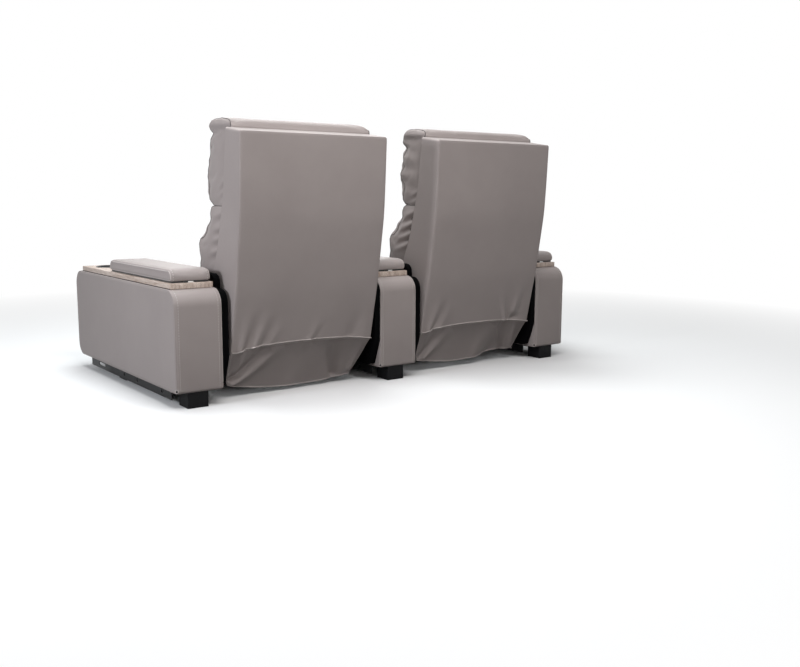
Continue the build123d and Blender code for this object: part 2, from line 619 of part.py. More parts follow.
# ---- back ------------------------------------------------------------------
BAND = [SHELL_CREST, BAND_HEAD, BAND_WAIST, BAND_HIP, BAND_LOW]


def shifted(points, forward):
    return [(d + forward, z) for d, z in points]


def back_shell(seat_x):
    """Upholstered rear panel, side bands and top as one folded board."""
    rear = [SHELL_SEAM, SHELL_LOWER, SHELL_KNEE, SHELL_UPPER, SHELL_TOP]
    outer = rear + BAND + [BAND_TOE]
    radii = [4.0, 700.0, 500.0, 900.0, 5.0] + BAND_RADII + [20.0]
    body = slab(seat_x - BACK_HALF, seat_x + BACK_HALF, outer, radii)
    w = SHELL_WALL
    hollow = shifted(rear[:-1], w)
    hollow += [(SHELL_TOP[0] + w, SHELL_TOP[1] - w + 2), (SHELL_CREST[0] + 2 * w, SHELL_CREST[1] - w + 1),
               (BAND_LOW[0] + 4 * w, BAND_LOW[1]), (BAND_LOW[0] + 4 * w, SHELL_SEAM[1] - w)]
    hollow = [(SHELL_SEAM[0] + w, SHELL_SEAM[1] - w)] + hollow
    body -= slab(seat_x - BACK_HALF + w, seat_x + BACK_HALF - w, hollow)
    return body


def between(a, b, z):
    """Point at height z on the line through two points of the side plane."""
    return (a[0] + (b[0] - a[0]) * (z - a[1]) / (b[1] - a[1]), z)


def square_tube(x0, x1, front):
    """Upright square tube with its front face along a bent line."""
    w = TUBE_WALL
    outer = front + shifted(front[::-1], -POST_SIZE)
    bottom, top = (front[0][0], front[0][1] - 1), (front[-1][0], front[-1][1] + 1)
    bore = [bottom] + front[1:-1] + [top]
    bore = shifted(bore, -w) + shifted(bore[::-1], w - POST_SIZE)
    return slab(x0, x1, outer) - slab(x0 + w, x1 - w, bore)


def cross_tube(x0, x1, a, b, z):
    """Square tube across the seat, its front face on the line through a and b."""
    low, high = between(a, b, z), between(a, b, z + POST_SIZE)
    tube = slab(x0, x1, [low, high] + shifted([high, low], -POST_SIZE))
    w = TUBE_WALL
    low, high = between(a, b, z + w), between(a, b, z + POST_SIZE - w)
    return tube - slab(x0 - 1, x1 + 1, shifted([low, high], -w) + shifted([high, low], w - POST_SIZE))


def back_frame(seat_x):
    """Square tube uprights and cross tubes, pivot brackets and a steel pan."""
    half = BACK_HALF - SHELL_WALL - PAN_GAP
    face = shifted(BAND, -PAN_GAP)
    face[0] = between(face[0], face[1], SHELL_CREST[1] - 2 * SHELL_WALL)
    solids = [slab(seat_x - half, seat_x + half, face + shifted(face[::-1], -PAN_THICK))]
    crest, head, waist, hip, low = shifted(BAND, -PAN_GAP - PAN_THICK)
    edge = BRACKET_U + BRACKET_THICK
    for x0, x1 in both(seat_x, edge - POST_SIZE, edge):
        solids.append(square_tube(x0, x1, [low, hip, waist, head, between(head, crest, POST_TOP)]))
    inner = edge - POST_SIZE
    solids.append(cross_tube(seat_x - inner, seat_x + inner, low, hip, CROSS_LOW))
    solids.append(cross_tube(seat_x - inner, seat_x + inner, head, crest, CROSS_HIGH))
    reach = BRACKET_REACH
    for x0, x1 in both(seat_x, BRACKET_U, edge):
        bracket = slab(x0, x1, [(BACK_PIVOT[0] - reach, BACK_PIVOT[1] - reach), (low[0] - POST_SIZE + 2, low[1]),
                                low, (BACK_PIVOT[0] + reach, BACK_PIVOT[1] + 0.8 * reach),
                                (BACK_PIVOT[0] + reach, BACK_PIVOT[1] - reach)],
                       [16.0, 2.0, 2.0, 16.0, 20.0])
        if x0 > seat_x:
            bracket += bar(x0, x1, polar(BACK_PIVOT, reach, HORN_ANGLE), HORN_PIN, LEVER_HALF)
            bracket += rod(seat_x + DRIVE_U - 2, x1, HORN_PIN, LINK_PIN_RADIUS)
        solids.append(bracket - rod(x0 - 1, x1 + 1, BACK_PIVOT, BACK_PIN_RADIUS + FIT))
    return solids


def head_cushion(seat_x):
    """Head pillow, rolled over the top of the shell."""
    gap = SOFT_GAP
    slope = (BAND_WAIST[0] - BAND_HEAD[0]) / (BAND_WAIST[1] - BAND_HEAD[1])
    crease_d = BAND_HEAD[0] + slope * (CREASE_Z - BAND_HEAD[1])
    full_z = CREASE_Z + HEAD_FULL * (HEAD_TOP - CREASE_Z)
    low, high = HEAD_BACKSET
    points = [(crease_d + gap, CREASE_Z), (BAND_HEAD[0] + gap, BAND_HEAD[1]), (SHELL_CREST[0] + gap, SHELL_CREST[1]),
              (SHELL_CREST[0] + gap, HEAD_TOP), (HEAD_FRONT - high, HEAD_TOP - 4), (HEAD_FRONT, full_z),
              (HEAD_FRONT - low, CREASE_Z + 2)]
    body = slab(seat_x - HEAD_HALF, seat_x + HEAD_HALF, points,
                [12.0, BAND_RADII[1], 4.0, 12.0, 62.0, 90.0, 50.0])
    body &= plan_bow(HEAD_HALF, SHELL_CREST[0] - 5, HEAD_FRONT, PILLOW_BOW, PILLOW_CORNER,
                     CREASE_Z - 5, HEAD_TOP + 5, seat_x)
    return body & front_bow(HEAD_HALF, CREASE_Z - 5, HEAD_TOP, 8.0, 40.0, SHELL_CREST[0] - 5, HEAD_FRONT + 5, seat_x)


def lumbar_cushion(seat_x):
    """Lumbar pillow, full in the small of the back."""
    gap = SOFT_GAP
    slope = (BAND_WAIST[0] - BAND_HEAD[0]) / (BAND_WAIST[1] - BAND_HEAD[1])
    top_z = CREASE_Z - 2 * gap
    crease_d = BAND_HEAD[0] + slope * (top_z - BAND_HEAD[1])
    low = (BAND_HIP[0] + 26, LUMBAR_BOTTOM)
    shoulder_back, shoulder_z = LUMBAR_SHOULDER
    points = [low, (BAND_HIP[0] + gap, BAND_HIP[1]), (BAND_WAIST[0] + gap, BAND_WAIST[1]), (crease_d + gap, top_z),
              (HEAD_FRONT - HEAD_BACKSET[0] - 6, top_z), (LUMBAR_FRONT - shoulder_back, shoulder_z),
              (LUMBAR_FRONT, LUMBAR_FULL[1]), (LUMBAR_FRONT, LUMBAR_FULL[0]), (LUMBAR_FRONT - 34, LUMBAR_BOTTOM)]
    body = slab(seat_x - LUMBAR_HALF, seat_x + LUMBAR_HALF, points,
                [12.0, BAND_RADII[3], BAND_RADII[2], 10.0, 46.0, 60.0, 40.0, 70.0, 22.0])
    return body & plan_bow(LUMBAR_HALF, BAND_HEAD[0], LUMBAR_FRONT, PILLOW_BOW, PILLOW_CORNER,
                           LUMBAR_BOTTOM - 5, CREASE_Z + 5, seat_x)


def skirt_section(seat_x, share):
    """Closed wavy strip at one height: arcs along the rear, and the same in front."""
    d = SHELL_SEAM[0] + 1 + (SKIRT_HEM_D - SHELL_SEAM[0] - 1) * share + 14 * share * (1 - share)
    z = SHELL_SEAM[1] * (1 - share) + 5 * share
    half = BACK_HALF + (SKIRT_HEM_HALF - BACK_HALF) * share - 1
    xs = [seat_x + half * (a + (b - a) * share) for a, b in zip(SKIRT_SEAM_FOLDS, SKIRT_HEM_FOLDS)]
    y = ARM_REAR_Y - d
    rear, front = [], []
    for k, full in enumerate(SKIRT_SWELLS):
        a, b = xs[k], xs[k + 1]
        swell = full * (0.08 + 1.3 * share - 0.38 * share**2)
        rear.append(ThreePointArc((a, y, z), ((a + b) / 2, y + swell, z), (b, y, z)))
        front.append(ThreePointArc((a, y - SKIRT_THICK, z), ((a + b) / 2, y - SKIRT_THICK + swell, z),
                                   (b, y - SKIRT_THICK, z)))
    ends = [Line((x, y, z), (x, y - SKIRT_THICK, z)) for x in (xs[-1], xs[0])]
    return make_face(rear + front + ends)


def back_skirt(seat_x):
    """Cloth flap hung from the shell's lower edge, in slanting folds."""
    cloth = loft([skirt_section(seat_x, share) for share in (0.0, 0.25, 0.5, 0.75, 1.0)])
    low = min(SKIRT_LOW, *SKIRT_ENDS)
    hem = [ThreePointArc((seat_x - BACK_HALF, SKIRT_ENDS[0]), (seat_x, SKIRT_LOW), (seat_x + BACK_HALF, SKIRT_ENDS[1])),
           Line((seat_x + BACK_HALF, SKIRT_ENDS[1]), (seat_x + BACK_HALF, low - 60)),
           Line((seat_x + BACK_HALF, low - 60), (seat_x - BACK_HALF, low - 60)),
           Line((seat_x - BACK_HALF, low - 60), (seat_x - BACK_HALF, SKIRT_ENDS[0]))]
    cut = extrude(Plane.XZ.offset(-ARM_REAR_Y) * make_face(hem), amount=400, dir=(0, -1, 0))
    return cloth - cut


# ---- footrest --------------------------------------------------------------
def footrest_crank(seat_x):
    """Torque tube with two hanging cranks, the drive lever and the clevis lever."""
    tube = rod(seat_x - CRANK_U - ARM_PLATE, seat_x + CRANK_U + ARM_PLATE, CRANK_PIVOT, TUBE_RADIUS)
    stub = PLATE_U + PLATE_THICK + 4
    tube += rod(seat_x - stub, seat_x + stub, CRANK_PIVOT, STUB_RADIUS)
    for x0, x1 in both(seat_x, CRANK_U, CRANK_U + ARM_PLATE):
        tube += bar(x0, x1, CRANK_PIVOT, ELBOW, ARM_HALF)
    for x0, x1 in both(seat_x, LINK_U - 2, CRANK_U + 1):
        tube += rod(x0, x1, ELBOW, LINK_PIN_RADIUS)
    drive = seat_x + DRIVE_U + DRIVE_THICK + 1
    tube += bar(drive, drive + LEVER_PLATE, CRANK_PIVOT, LEVER_PIN, LEVER_HALF)
    tube += rod(seat_x + DRIVE_U - 2, drive + 1, LEVER_PIN, LINK_PIN_RADIUS)
    for side in (-1, 1):
        u0 = EYE_THICK / 2 + CLEVIS_GAP
        tube += bar(seat_x + side * u0, seat_x + side * (u0 + CLEVIS_THICK), CRANK_PIVOT, LEVER_PIN, LEVER_HALF)
    reach = EYE_THICK / 2 + CLEVIS_GAP + 1
    return tube + rod(seat_x - reach, seat_x + reach, LEVER_PIN, LINK_PIN_RADIUS)


def footrest_link(seat_x):
    solids = []
    for side in (-1, 1):
        x0, x1 = seat_x + side * LINK_U, seat_x + side * (LINK_U + ARM_PLATE)
        link = bar(x0, x1, ELBOW, PAD_PIVOT, ARM_HALF)
        link -= rod(x0 - side, x1 + side, ELBOW, PIN_HOLE)
        link += rod(seat_x + side * (LUG_U - 2), seat_x + side * (LINK_U + 1), PAD_PIVOT, LINK_PIN_RADIUS)
        solids.append(link)
    return solids


def footrest_board(seat_x):
    d0 = PAD_PIVOT[0] + FOOTBOARD_SETBACK
    z0, z1 = PAD_PIVOT[1] - FOOTBOARD_DOWN, PAD_PIVOT[1] + FOOTBOARD_UP
    solids = [span(seat_x - FOOTBOARD_HALF, seat_x + FOOTBOARD_HALF, d0, d0 + FOOTBOARD_THICK, z0, z1)]
    for x0, x1 in both(seat_x, LUG_U, LUG_U + ARM_PLATE):
        lug = slab(x0, x1, [(d0, PAD_PIVOT[1] - 40), (PAD_PIVOT[0] - 14, PAD_PIVOT[1] - 14),
                            (PAD_PIVOT[0] - 14, PAD_PIVOT[1] + 14), (d0, PAD_PIVOT[1] + 40)],
                   [1.0, 12.0, 12.0, 1.0])
        solids.append(lug - rod(x0 - 1, x1 + 1, PAD_PIVOT, PIN_HOLE))
    return solids


def footrest_pad(seat_x):
    d0 = PAD_PIVOT[0] + FOOTBOARD_SETBACK + FOOTBOARD_THICK
    d1 = d0 + FOOTPAD_THICK
    z0, z1 = PAD_PIVOT[1] - FOOTPAD_DOWN, PAD_PIVOT[1] + FOOTPAD_UP
    body = slab(seat_x - FOOTPAD_HALF, seat_x + FOOTPAD_HALF, [(d0, z0), (d0, z1), (d1, z1), (d1, z0)],
                [8.0, 8.0, 30.0, 30.0])
    return body & plan_bow(FOOTPAD_HALF, d0, d1, FOOTPAD_BOW, 24.0, z0, z1, seat_x)


# ---- drive -----------------------------------------------------------------
def drive_link(seat_x):
    """Tie bar from the back's horn to the crank, with an oversize front eye."""
    x0 = seat_x + DRIVE_U
    link = bar(x0, x0 + DRIVE_THICK, HORN_PIN, LEVER_PIN, LEVER_HALF)
    eye = LINK_PIN_RADIUS + DRIVE_SLOT
    link += rod(x0, x0 + DRIVE_THICK, LEVER_PIN, eye + 5)
    link -= rod(x0 - 1, x0 + DRIVE_THICK + 1, LEVER_PIN, eye)
    return link - rod(x0 - 1, x0 + DRIVE_THICK + 1, HORN_PIN, PIN_HOLE)


def actuator_body(seat_x):
    """Tube with the motor under it and the rear eye."""
    grow = (Align.CENTER, Align.CENTER, Align.MIN)
    body = along_actuator(seat_x, ACTUATOR_TUBE_START) * Cylinder(
        ACTUATOR_TUBE_RADIUS, ACTUATOR_TUBE_END - ACTUATOR_TUBE_START, align=grow)
    side, deep, tall = ACTUATOR_MOTOR
    body += along_actuator(seat_x, ACTUATOR_TUBE_START) * (
        Pos(side / 2, 0, 0) * Box(side, ACTUATOR_TUBE_RADIUS * 1.9, tall, align=grow))
    body += along_actuator(seat_x, 0) * (Pos(0, 0, 0) * Box(EYE_THICK, 2 * EYE_RADIUS, ACTUATOR_TUBE_START + 4,
                                                            align=grow))
    body += rod(seat_x - EYE_THICK / 2, seat_x + EYE_THICK / 2, ACTUATOR_REAR, EYE_RADIUS)
    body -= rod(seat_x - EYE_THICK, seat_x + EYE_THICK, ACTUATOR_REAR, ACTUATOR_PIN_RADIUS + FIT)
    bore = along_actuator(seat_x, ACTUATOR_BORE_START) * Cylinder(ACTUATOR_ROD_RADIUS + FIT, 400, align=grow)
    return body - bore


def actuator_rod(seat_x):
    """Sliding rod whose flat eye is slotted square to the rod."""
    grow = (Align.CENTER, Align.CENTER, Align.MIN)
    near = LINK_PIN_RADIUS + EYE_PLAY
    slot_high, slot_long = 2 * near + EYE_DROP, 2 * near + EYE_BACK
    middle = along_actuator(seat_x, ACTUATOR_RUN) * Pos(0, -EYE_DROP / 2, -EYE_BACK / 2)
    shaft = ACTUATOR_RUN - near - EYE_BACK - EYE_RIM - ACTUATOR_ROD_TAIL
    solid = along_actuator(seat_x, ACTUATOR_ROD_TAIL) * Cylinder(ACTUATOR_ROD_RADIUS, shaft + 2, align=grow)
    solid += middle * Box(EYE_THICK, slot_high + 2 * EYE_RIM, slot_long + 2 * EYE_RIM)
    return solid - middle * Box(2 * EYE_THICK, slot_high, slot_long)


# ---- pins that stay with the fixed frame -----------------------------------
def fixed_pins(seat_x):
    solids = []
    for side in (-1, 1):
        a, b = seat_x + side * (BRACKET_U - 2), seat_x + side * (PLATE_U + PLATE_THICK)
        pin = rod(a, b, BACK_PIVOT, BACK_PIN_RADIUS)
        solids.append(pin + rod(b, b + side * 5, BACK_PIVOT, BACK_PIN_RADIUS + 5))
    half = EYE_THICK / 2 + CLEVIS_GAP + CLEVIS_THICK
    pin = rod(seat_x - half, seat_x + half, ACTUATOR_REAR, ACTUATOR_PIN_RADIUS)
    for side in (-1, 1):
        pin += rod(seat_x + side * half, seat_x + side * (half + 3), ACTUATOR_REAR, ACTUATOR_PIN_RADIUS + 3)
    return solids + [pin]


pins = []
for side, seat_x in SEATS.items():
    save(f"{side}_base_frame", *base_frame(seat_x))
    save(f"{side}_seat_frame", *seat_frame(seat_x))
    save(f"{side}_seat_cushion", seat_cushion(seat_x))
    save(f"{side}_back_shell", back_shell(seat_x))
    save(f"{side}_back_frame", *back_frame(seat_x))
    save(f"{side}_head_cushion", head_cushion(seat_x))
    save(f"{side}_lumbar_cushion", lumbar_cushion(seat_x))
    save(f"{side}_back_skirt", back_skirt(seat_x))
    save(f"{side}_footrest_crank", footrest_crank(seat_x))
    save(f"{side}_footrest_link", *footrest_link(seat_x))
    save(f"{side}_footrest_board", *footrest_board(seat_x))
    save(f"{side}_footrest_pad", footrest_pad(seat_x))
    save(f"{side}_drive_link", drive_link(seat_x))
    save(f"{side}_actuator_body", actuator_body(seat_x))
    save(f"{side}_actuator_rod", actuator_rod(seat_x))
    pins += fixed_pins(seat_x)
save("pivot_pins", *pins)


# ---- controls and power supply ---------------------------------------------
def control_panel(x):
    half = CONTROL_WIDTH / 2
    panel = span(x - half, x + half, PANEL_D - CONTROL_LENGTH / 2, PANEL_D + CONTROL_LENGTH / 2,
                 BOARD_TOP, CONTROL_TOP)
    panel = fillet(panel.edges().filter_by(Axis.Z), 8)
    for bx, bd in button_points(x):
        panel -= Pos(bx, ARM_REAR_Y - bd, CONTROL_TOP) * Cylinder(BUTTON_RADIUS + FIT, 4 * CONTROL_THICK)
    return panel


def button(x, d):
    top = CONTROL_TOP + BUTTON_RISE
    cap = Pos(x, ARM_REAR_Y - d, top) * Cylinder(BUTTON_RADIUS, BUTTON_LENGTH,
                                                 align=(Align.CENTER, Align.CENTER, Align.MAX))
    return fillet(cap.edges().group_by(Axis.Z)[-1], 1)


def power_supply(seat_x):
    wide, deep, tall = SUPPLY_SIZE
    x0 = seat_x + SUPPLY_U - wide / 2
    box = span(x0, x0 + wide, BASE_REAR, BASE_REAR + deep, BASE_TOP, BASE_TOP + tall)
    box = fillet(box.edges().filter_by(Axis.Z), 5)
    inlet_w, inlet_d, inlet_h = INLET
    middle = x0 + wide / 2
    z = BASE_TOP + tall / 2
    return box - span(middle - inlet_w / 2, middle + inlet_w / 2, BASE_REAR - 1, BASE_REAR + inlet_d,
                      z - inlet_h / 2, z + inlet_h / 2)


save("control_panels", control_panel(ARMS["middle"]), control_panel(ARMS["right"]))
for seat, arm in (("left", "middle"), ("right", "right")):
    near, far = button_points(ARMS[arm])
    save(f"{seat}_button_open", button(*far))
    save(f"{seat}_button_close", button(*near))
save("power_supply", *[power_supply(seat_x) for seat_x in SEATS.values()])
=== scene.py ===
import math
import bpy
import numpy as np
from mathutils import Matrix, Vector
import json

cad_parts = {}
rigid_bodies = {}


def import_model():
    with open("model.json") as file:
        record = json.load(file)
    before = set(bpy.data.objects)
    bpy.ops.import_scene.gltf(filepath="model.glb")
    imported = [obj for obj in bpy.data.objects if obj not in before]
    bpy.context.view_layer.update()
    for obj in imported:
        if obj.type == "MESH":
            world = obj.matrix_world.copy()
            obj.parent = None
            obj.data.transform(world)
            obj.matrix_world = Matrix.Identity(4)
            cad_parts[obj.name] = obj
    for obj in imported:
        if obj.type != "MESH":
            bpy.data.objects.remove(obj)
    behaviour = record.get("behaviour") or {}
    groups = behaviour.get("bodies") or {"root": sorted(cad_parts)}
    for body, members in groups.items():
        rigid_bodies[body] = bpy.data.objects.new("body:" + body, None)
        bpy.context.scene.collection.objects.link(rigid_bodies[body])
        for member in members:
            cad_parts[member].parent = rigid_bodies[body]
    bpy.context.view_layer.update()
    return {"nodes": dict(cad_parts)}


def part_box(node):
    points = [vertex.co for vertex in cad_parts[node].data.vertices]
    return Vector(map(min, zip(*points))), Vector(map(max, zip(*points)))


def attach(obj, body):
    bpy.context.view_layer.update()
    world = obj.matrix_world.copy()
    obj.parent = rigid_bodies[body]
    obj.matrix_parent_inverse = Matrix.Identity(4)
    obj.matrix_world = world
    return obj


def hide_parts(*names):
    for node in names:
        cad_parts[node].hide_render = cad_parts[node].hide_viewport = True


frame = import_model()

# Two reclining cinema seats in a row, with three padded arms between and beside
# them.  X runs along the row, the sitters face -Y and +Z is up, in metres.


# ---- Feet, arm rails and side panels --------------------------------------
# Square blocks of painted beech carry each arm on a folded steel rail.  The
# panels between arms and seats are painted board.  All of them are near black.
PAINT_DARK = (0.0035, 0.0035, 0.0040, 1)
PAINT_WORN = (0.0090, 0.0090, 0.0100, 1)


def new_material(name):
    """An empty principled material; returns it, its tree and its shader."""
    material = bpy.data.materials.new(name)
    material.use_nodes = True
    tree = material.node_tree
    shader = tree.nodes["Principled BSDF"]
    return material, tree, shader


def set_inputs(tree, node, inputs):
    """Sets inputs of a shader node, each to a value or to another node's output."""
    for key, value in inputs.items():
        if isinstance(value, bpy.types.NodeSocket):
            tree.links.new(value, node.inputs[key])
        else:
            node.inputs[key].default_value = value


def add_node(tree, kind, inputs, output=0, **settings):
    """A shader node with its settings and inputs; returns one of its outputs."""
    node = tree.nodes.new("ShaderNode" + kind)
    for key, value in settings.items():
        setattr(node, key, value)
    set_inputs(tree, node, inputs)
    return node.outputs[output]


def place_pattern(tree, stretch=(1, 1, 1)):
    """Object coordinates, stretched along the axes."""
    coords = add_node(tree, "TexCoord", {}, "Object")
    return add_node(tree, "Mapping", {"Vector": coords, "Scale": stretch}, "Vector")


def add_noise(tree, place, scale, detail, rough):
    inputs = {"Vector": place, "Scale": scale, "Detail": detail, "Roughness": rough}
    return add_node(tree, "TexNoise", inputs, "Fac")


def add_ramp(tree, value, stops):
    """A colour ramp from (position, colour) stops."""
    ramp = tree.nodes.new("ShaderNodeValToRGB")
    elements = ramp.color_ramp.elements
    elements[0].position, elements[0].color = stops[0]
    elements[1].position, elements[1].color = stops[-1]
    for position, colour in stops[1:-1]:
        elements.new(position).color = colour
    tree.links.new(value, ramp.inputs["Fac"])
    return ramp.outputs["Color"]


def add_range(tree, value, low, high):
    return add_node(tree, "MapRange", {"Value": value, "To Min": low, "To Max": high}, "Result")


def add_bump(tree, height, strength, depth, under=None):
    inputs = {"Height": height, "Strength": strength, "Distance": depth}
    if under is not None:
        inputs["Normal"] = under
    return add_node(tree, "Bump", inputs, "Normal")


def add_mix(tree, factor, a, b, **settings):
    """A mix of two colours."""
    inputs = {"Factor": factor, "A": a, "B": b}
    return add_node(tree, "Mix", inputs, "Result", data_type="RGBA", **settings)


def two_tone(name, dark, light, scale, rough, bump, metal=0.0, shine=0.5, stretch=(1, 1, 1)):
    """A finish that wanders between two tones, with fine relief."""
    material, tree, shader = new_material(name)
    place = place_pattern(tree, stretch)
    broad = add_noise(tree, place, scale, 4.0, 0.6)
    fine = add_noise(tree, place, scale * 14, 2.0, 0.6)
    set_inputs(tree, shader, {"Base Color": add_ramp(tree, broad, [(0.3, dark), (0.72, light)]),
                              "Roughness": add_range(tree, broad, *rough),
                              "Normal": add_bump(tree, fine, *bump),
                              "Metallic": metal, "Specular IOR Level": shine})
    return material


def dress(node, material):
    """Gives a CAD node its finish."""
    for holder in frame["nodes"][node].material_slots:
        holder.material = material


black_paint = two_tone("black_paint", PAINT_DARK, PAINT_WORN, 22, (0.5, 0.68), (0.25, 0.0006), shine=0.1)
matt_black = two_tone("matt_black", (0.0012, 0.0012, 0.0014, 1), (0.0026, 0.0026, 0.0028, 1),
                      22, (0.7, 0.85), (0.25, 0.0006), shine=0.02)
dress("feet", black_paint)
dress("side_panels", matt_black)
# Painted light and shade: the rails' front is coloured grey as if lit, and their rear black as if shaded.
RAIL_LIT_GREY = [(0.3, (0.040, 0.041, 0.041, 1)), (0.72, (0.070, 0.071, 0.070, 1))]
RAIL_SHADED_BLACK = [(0.3, PAINT_DARK), (0.72, PAINT_WORN)]
RAIL_LIT_END = -0.31  # painted light: grey in front of here, fading to black as painted shade behind the next value
RAIL_SHADE_START = -0.22


def rail_painted_light_finish():
    """Black-painted steel with painted light and shade: grey where the front catches light, turning to
    black towards the rear.
    """
    material, tree, shader = new_material("rail_steel_painted_light")
    place = place_pattern(tree)
    wear = add_noise(tree, place, 24, 4.0, 0.6)
    along = add_node(tree, "SeparateXYZ", {0: place}, "Y")
    span = {"Value": along, "From Min": RAIL_LIT_END, "From Max": RAIL_SHADE_START}
    turn = add_node(tree, "MapRange", span, "Result")
    colour = add_mix(tree, turn, add_ramp(tree, wear, RAIL_LIT_GREY), add_ramp(tree, wear, RAIL_SHADED_BLACK))
    set_inputs(tree, shader, {"Base Color": colour, "Roughness": add_range(tree, wear, 0.5, 0.65),
                              "Specular IOR Level": 0.2})
    return material


dress("arm_rails", rail_painted_light_finish())


# ---- Mechanism ------------------------------------------------------------
# Welded tube frames bolted to the floor, laser-cut links on zinc-plated pins and
# a linear actuator with a moulded motor housing under each seat.
SEATS = ("left", "right")
black_steel = two_tone("black_steel", (0.008, 0.008, 0.009, 1), (0.020, 0.020, 0.022, 1), 30,
                       (0.34, 0.5), (0.2, 0.0003))
zinc = two_tone("zinc_plate", (0.50, 0.50, 0.49, 1), (0.68, 0.68, 0.66, 1), 40,
                (0.26, 0.42), (0.15, 0.0002), metal=1.0)
for seat in SEATS:
    for part in ("base_frame", "back_frame", "footrest_crank", "footrest_link", "actuator_body"):
        dress(f"{seat}_{part}", black_steel)
    for part in ("drive_link", "actuator_rod"):
        dress(f"{seat}_{part}", zinc)
dress("mech_plates", black_steel)
dress("pivot_pins", zinc)
dress("lid_hinges", zinc)


# ---- Plywood boards -------------------------------------------------------
# The arm carcasses are birch plywood: pale sheets with a faint long grain and darker
# glue lines on the cut edges.  Seat decks and footrest boards are stained black.
ARMS = ("left", "middle", "right")
BIRCH_TONES = [(0.4, (0.38, 0.25, 0.13, 1)), (0.62, (0.56, 0.41, 0.25, 1)), (0.85, (0.66, 0.52, 0.34, 1))]
PLY_LAYERS = 700  # glue lines per metre of thickness


def plywood_finish():
    material, tree, shader = new_material("birch_plywood")
    grain = add_noise(tree, place_pattern(tree, (9, 1.3, 9)), 6, 5.0, 0.6)
    layers = add_noise(tree, place_pattern(tree, (0.5, 0.5, PLY_LAYERS)), 1.0, 1.0, 0.5)
    mixed = add_node(tree, "Math", {0: layers, 1: 0.3, 2: grain}, operation="MULTIPLY_ADD")
    set_inputs(tree, shader, {"Base Color": add_ramp(tree, mixed, BIRCH_TONES),
                              "Roughness": add_range(tree, grain, 0.5, 0.72),
                              "Normal": add_bump(tree, grain, 0.3, 0.0006)})
    return material


plywood = plywood_finish()
stained_board = two_tone("stained_board", (0.012, 0.010, 0.009, 1), (0.030, 0.025, 0.021, 1), 5,
                         (0.5, 0.65), (0.3, 0.0004), stretch=(12, 1.6, 12))
for seat in SEATS:
    dress(f"{seat}_seat_frame", stained_board)
    dress(f"{seat}_footrest_board", stained_board)
for arm in ARMS:
    dress(f"{arm}_arm_carcass", plywood)


# ---- Arm boxes ------------------------------------------------------------
# Each arm is a board box wrapped in grey leather: two flat side panels and one
# strip round the ends and the top, joined by a welt with a stitch row beside it.
ARM_TOP_RADIUS = 0.060
ARM_TOE_RADIUS = 0.054
ARM_HEEL_RADIUS = 0.011
ARM_SKIN = 0.004
ARM_EDGE = 0.009  # padded rounding along the side panels
ARM_STITCH_INSET = 0.0150  # stitch row from the side panel's plane
WELT_RADIUS = 0.0016
BIN_BOX = {"half": 0.058, "rear": 0.084, "front": 0.636}
CUP_FORWARD = 0.881
CUP_HOLE = 0.048
STITCH_PITCH = 0.0095
STITCH_LENGTH = 0.0054
STITCH_THICK = 0.0014
LEATHER_LOW = (0.286, 0.250, 0.241, 1)
LEATHER_HIGH = (0.312, 0.274, 0.264, 1)
ARM_REAR_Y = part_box("left_arm_cover")[1].y
ARM_X = {arm: sum(corner.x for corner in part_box(f"{arm}_arm_cover")) / 2 for arm in ARMS}


def leather_finish(name, low, high):
    """Pebbled upholstery leather: fine grain, soft slack and a slow change of tone."""
    material, tree, shader = new_material(name)
    place = place_pattern(tree)
    tone = add_noise(tree, place, 5, 4.0, 0.55)
    slack = add_bump(tree, add_noise(tree, place, 16, 3.0, 0.5), 0.22, 0.0022)
    pebbles = add_node(tree, "TexVoronoi", {"Vector": place, "Scale": 620}, "Distance",
                       feature="DISTANCE_TO_EDGE")
    set_inputs(tree, shader, {"Base Color": add_ramp(tree, tone, [(0.32, low), (0.68, high)]),
                              "Roughness": add_range(tree, tone, 0.46, 0.58),
                              "Normal": add_bump(tree, pebbles, 0.3, 0.0005, slack),
                              "Specular IOR Level": 0.26})
    return material


leather = leather_finish("grey_leather", LEATHER_LOW, LEATHER_HIGH)
piping_leather = leather_finish("piping_leather", (0.40, 0.360, 0.345, 1), (0.46, 0.415, 0.40, 1))
thread = two_tone("pale_thread", (0.54, 0.50, 0.47, 1), (0.66, 0.62, 0.585, 1), 300,
                  (0.6, 0.75), (0.2, 0.0002))


def edit_mode():
    bpy.ops.object.mode_set(mode="EDIT")


def object_mode():
    bpy.ops.object.mode_set(mode="OBJECT")


def clear_selection():
    if bpy.context.object is not None and bpy.context.object.mode != "OBJECT":
        object_mode()
    bpy.ops.object.select_all(action="DESELECT")


def take(piece):
    """Makes one piece the selected and active one."""
    clear_selection()
    piece.select_set(True)
    bpy.context.view_layer.objects.active = piece


def settle():
    """Moves the active piece's place into its mesh."""
    bpy.ops.object.transform_apply(location=True, rotation=True, scale=True)


def add_shape(name, operator, **settings):
    """A basic mesh with its place moved into the mesh."""
    clear_selection()
    operator(**settings)
    piece = bpy.context.object
    piece.name = name
    settle()
    return piece


def add_block(name, low, high):
    """A box between two corners."""
    low, high = Vector(low), Vector(high)
    block = add_shape(name, bpy.ops.mesh.primitive_cube_add, size=1)
    block.scale = high - low
    block.location = (low + high) / 2
    settle()
    return block


def pick(piece, kind, test):
    """Edit mode with the edges or faces selected that pass the test."""
    take(piece)
    edit_mode()
    bpy.ops.mesh.select_mode(type=kind)
    bpy.ops.mesh.select_all(action="DESELECT")
    object_mode()
    for item in piece.data.edges if kind == "EDGE" else piece.data.polygons:
        item.select = bool(test(item))
    edit_mode()


def pick_edges(piece, test):
    """Picks the edges whose two ends pass the test."""
    pick(piece, "EDGE", lambda edge: test(*(piece.data.vertices[i].co for i in edge.vertices)))


def bevel_picked(radius, segments):
    bpy.ops.mesh.bevel(offset=radius, segments=segments, affect="EDGES")
    object_mode()


def edit_all(piece, operator, **settings):
    """Runs one mesh operator on the whole of a piece."""
    take(piece)
    edit_mode()
    bpy.ops.mesh.select_all(action="SELECT")
    operator(**settings)
    object_mode()


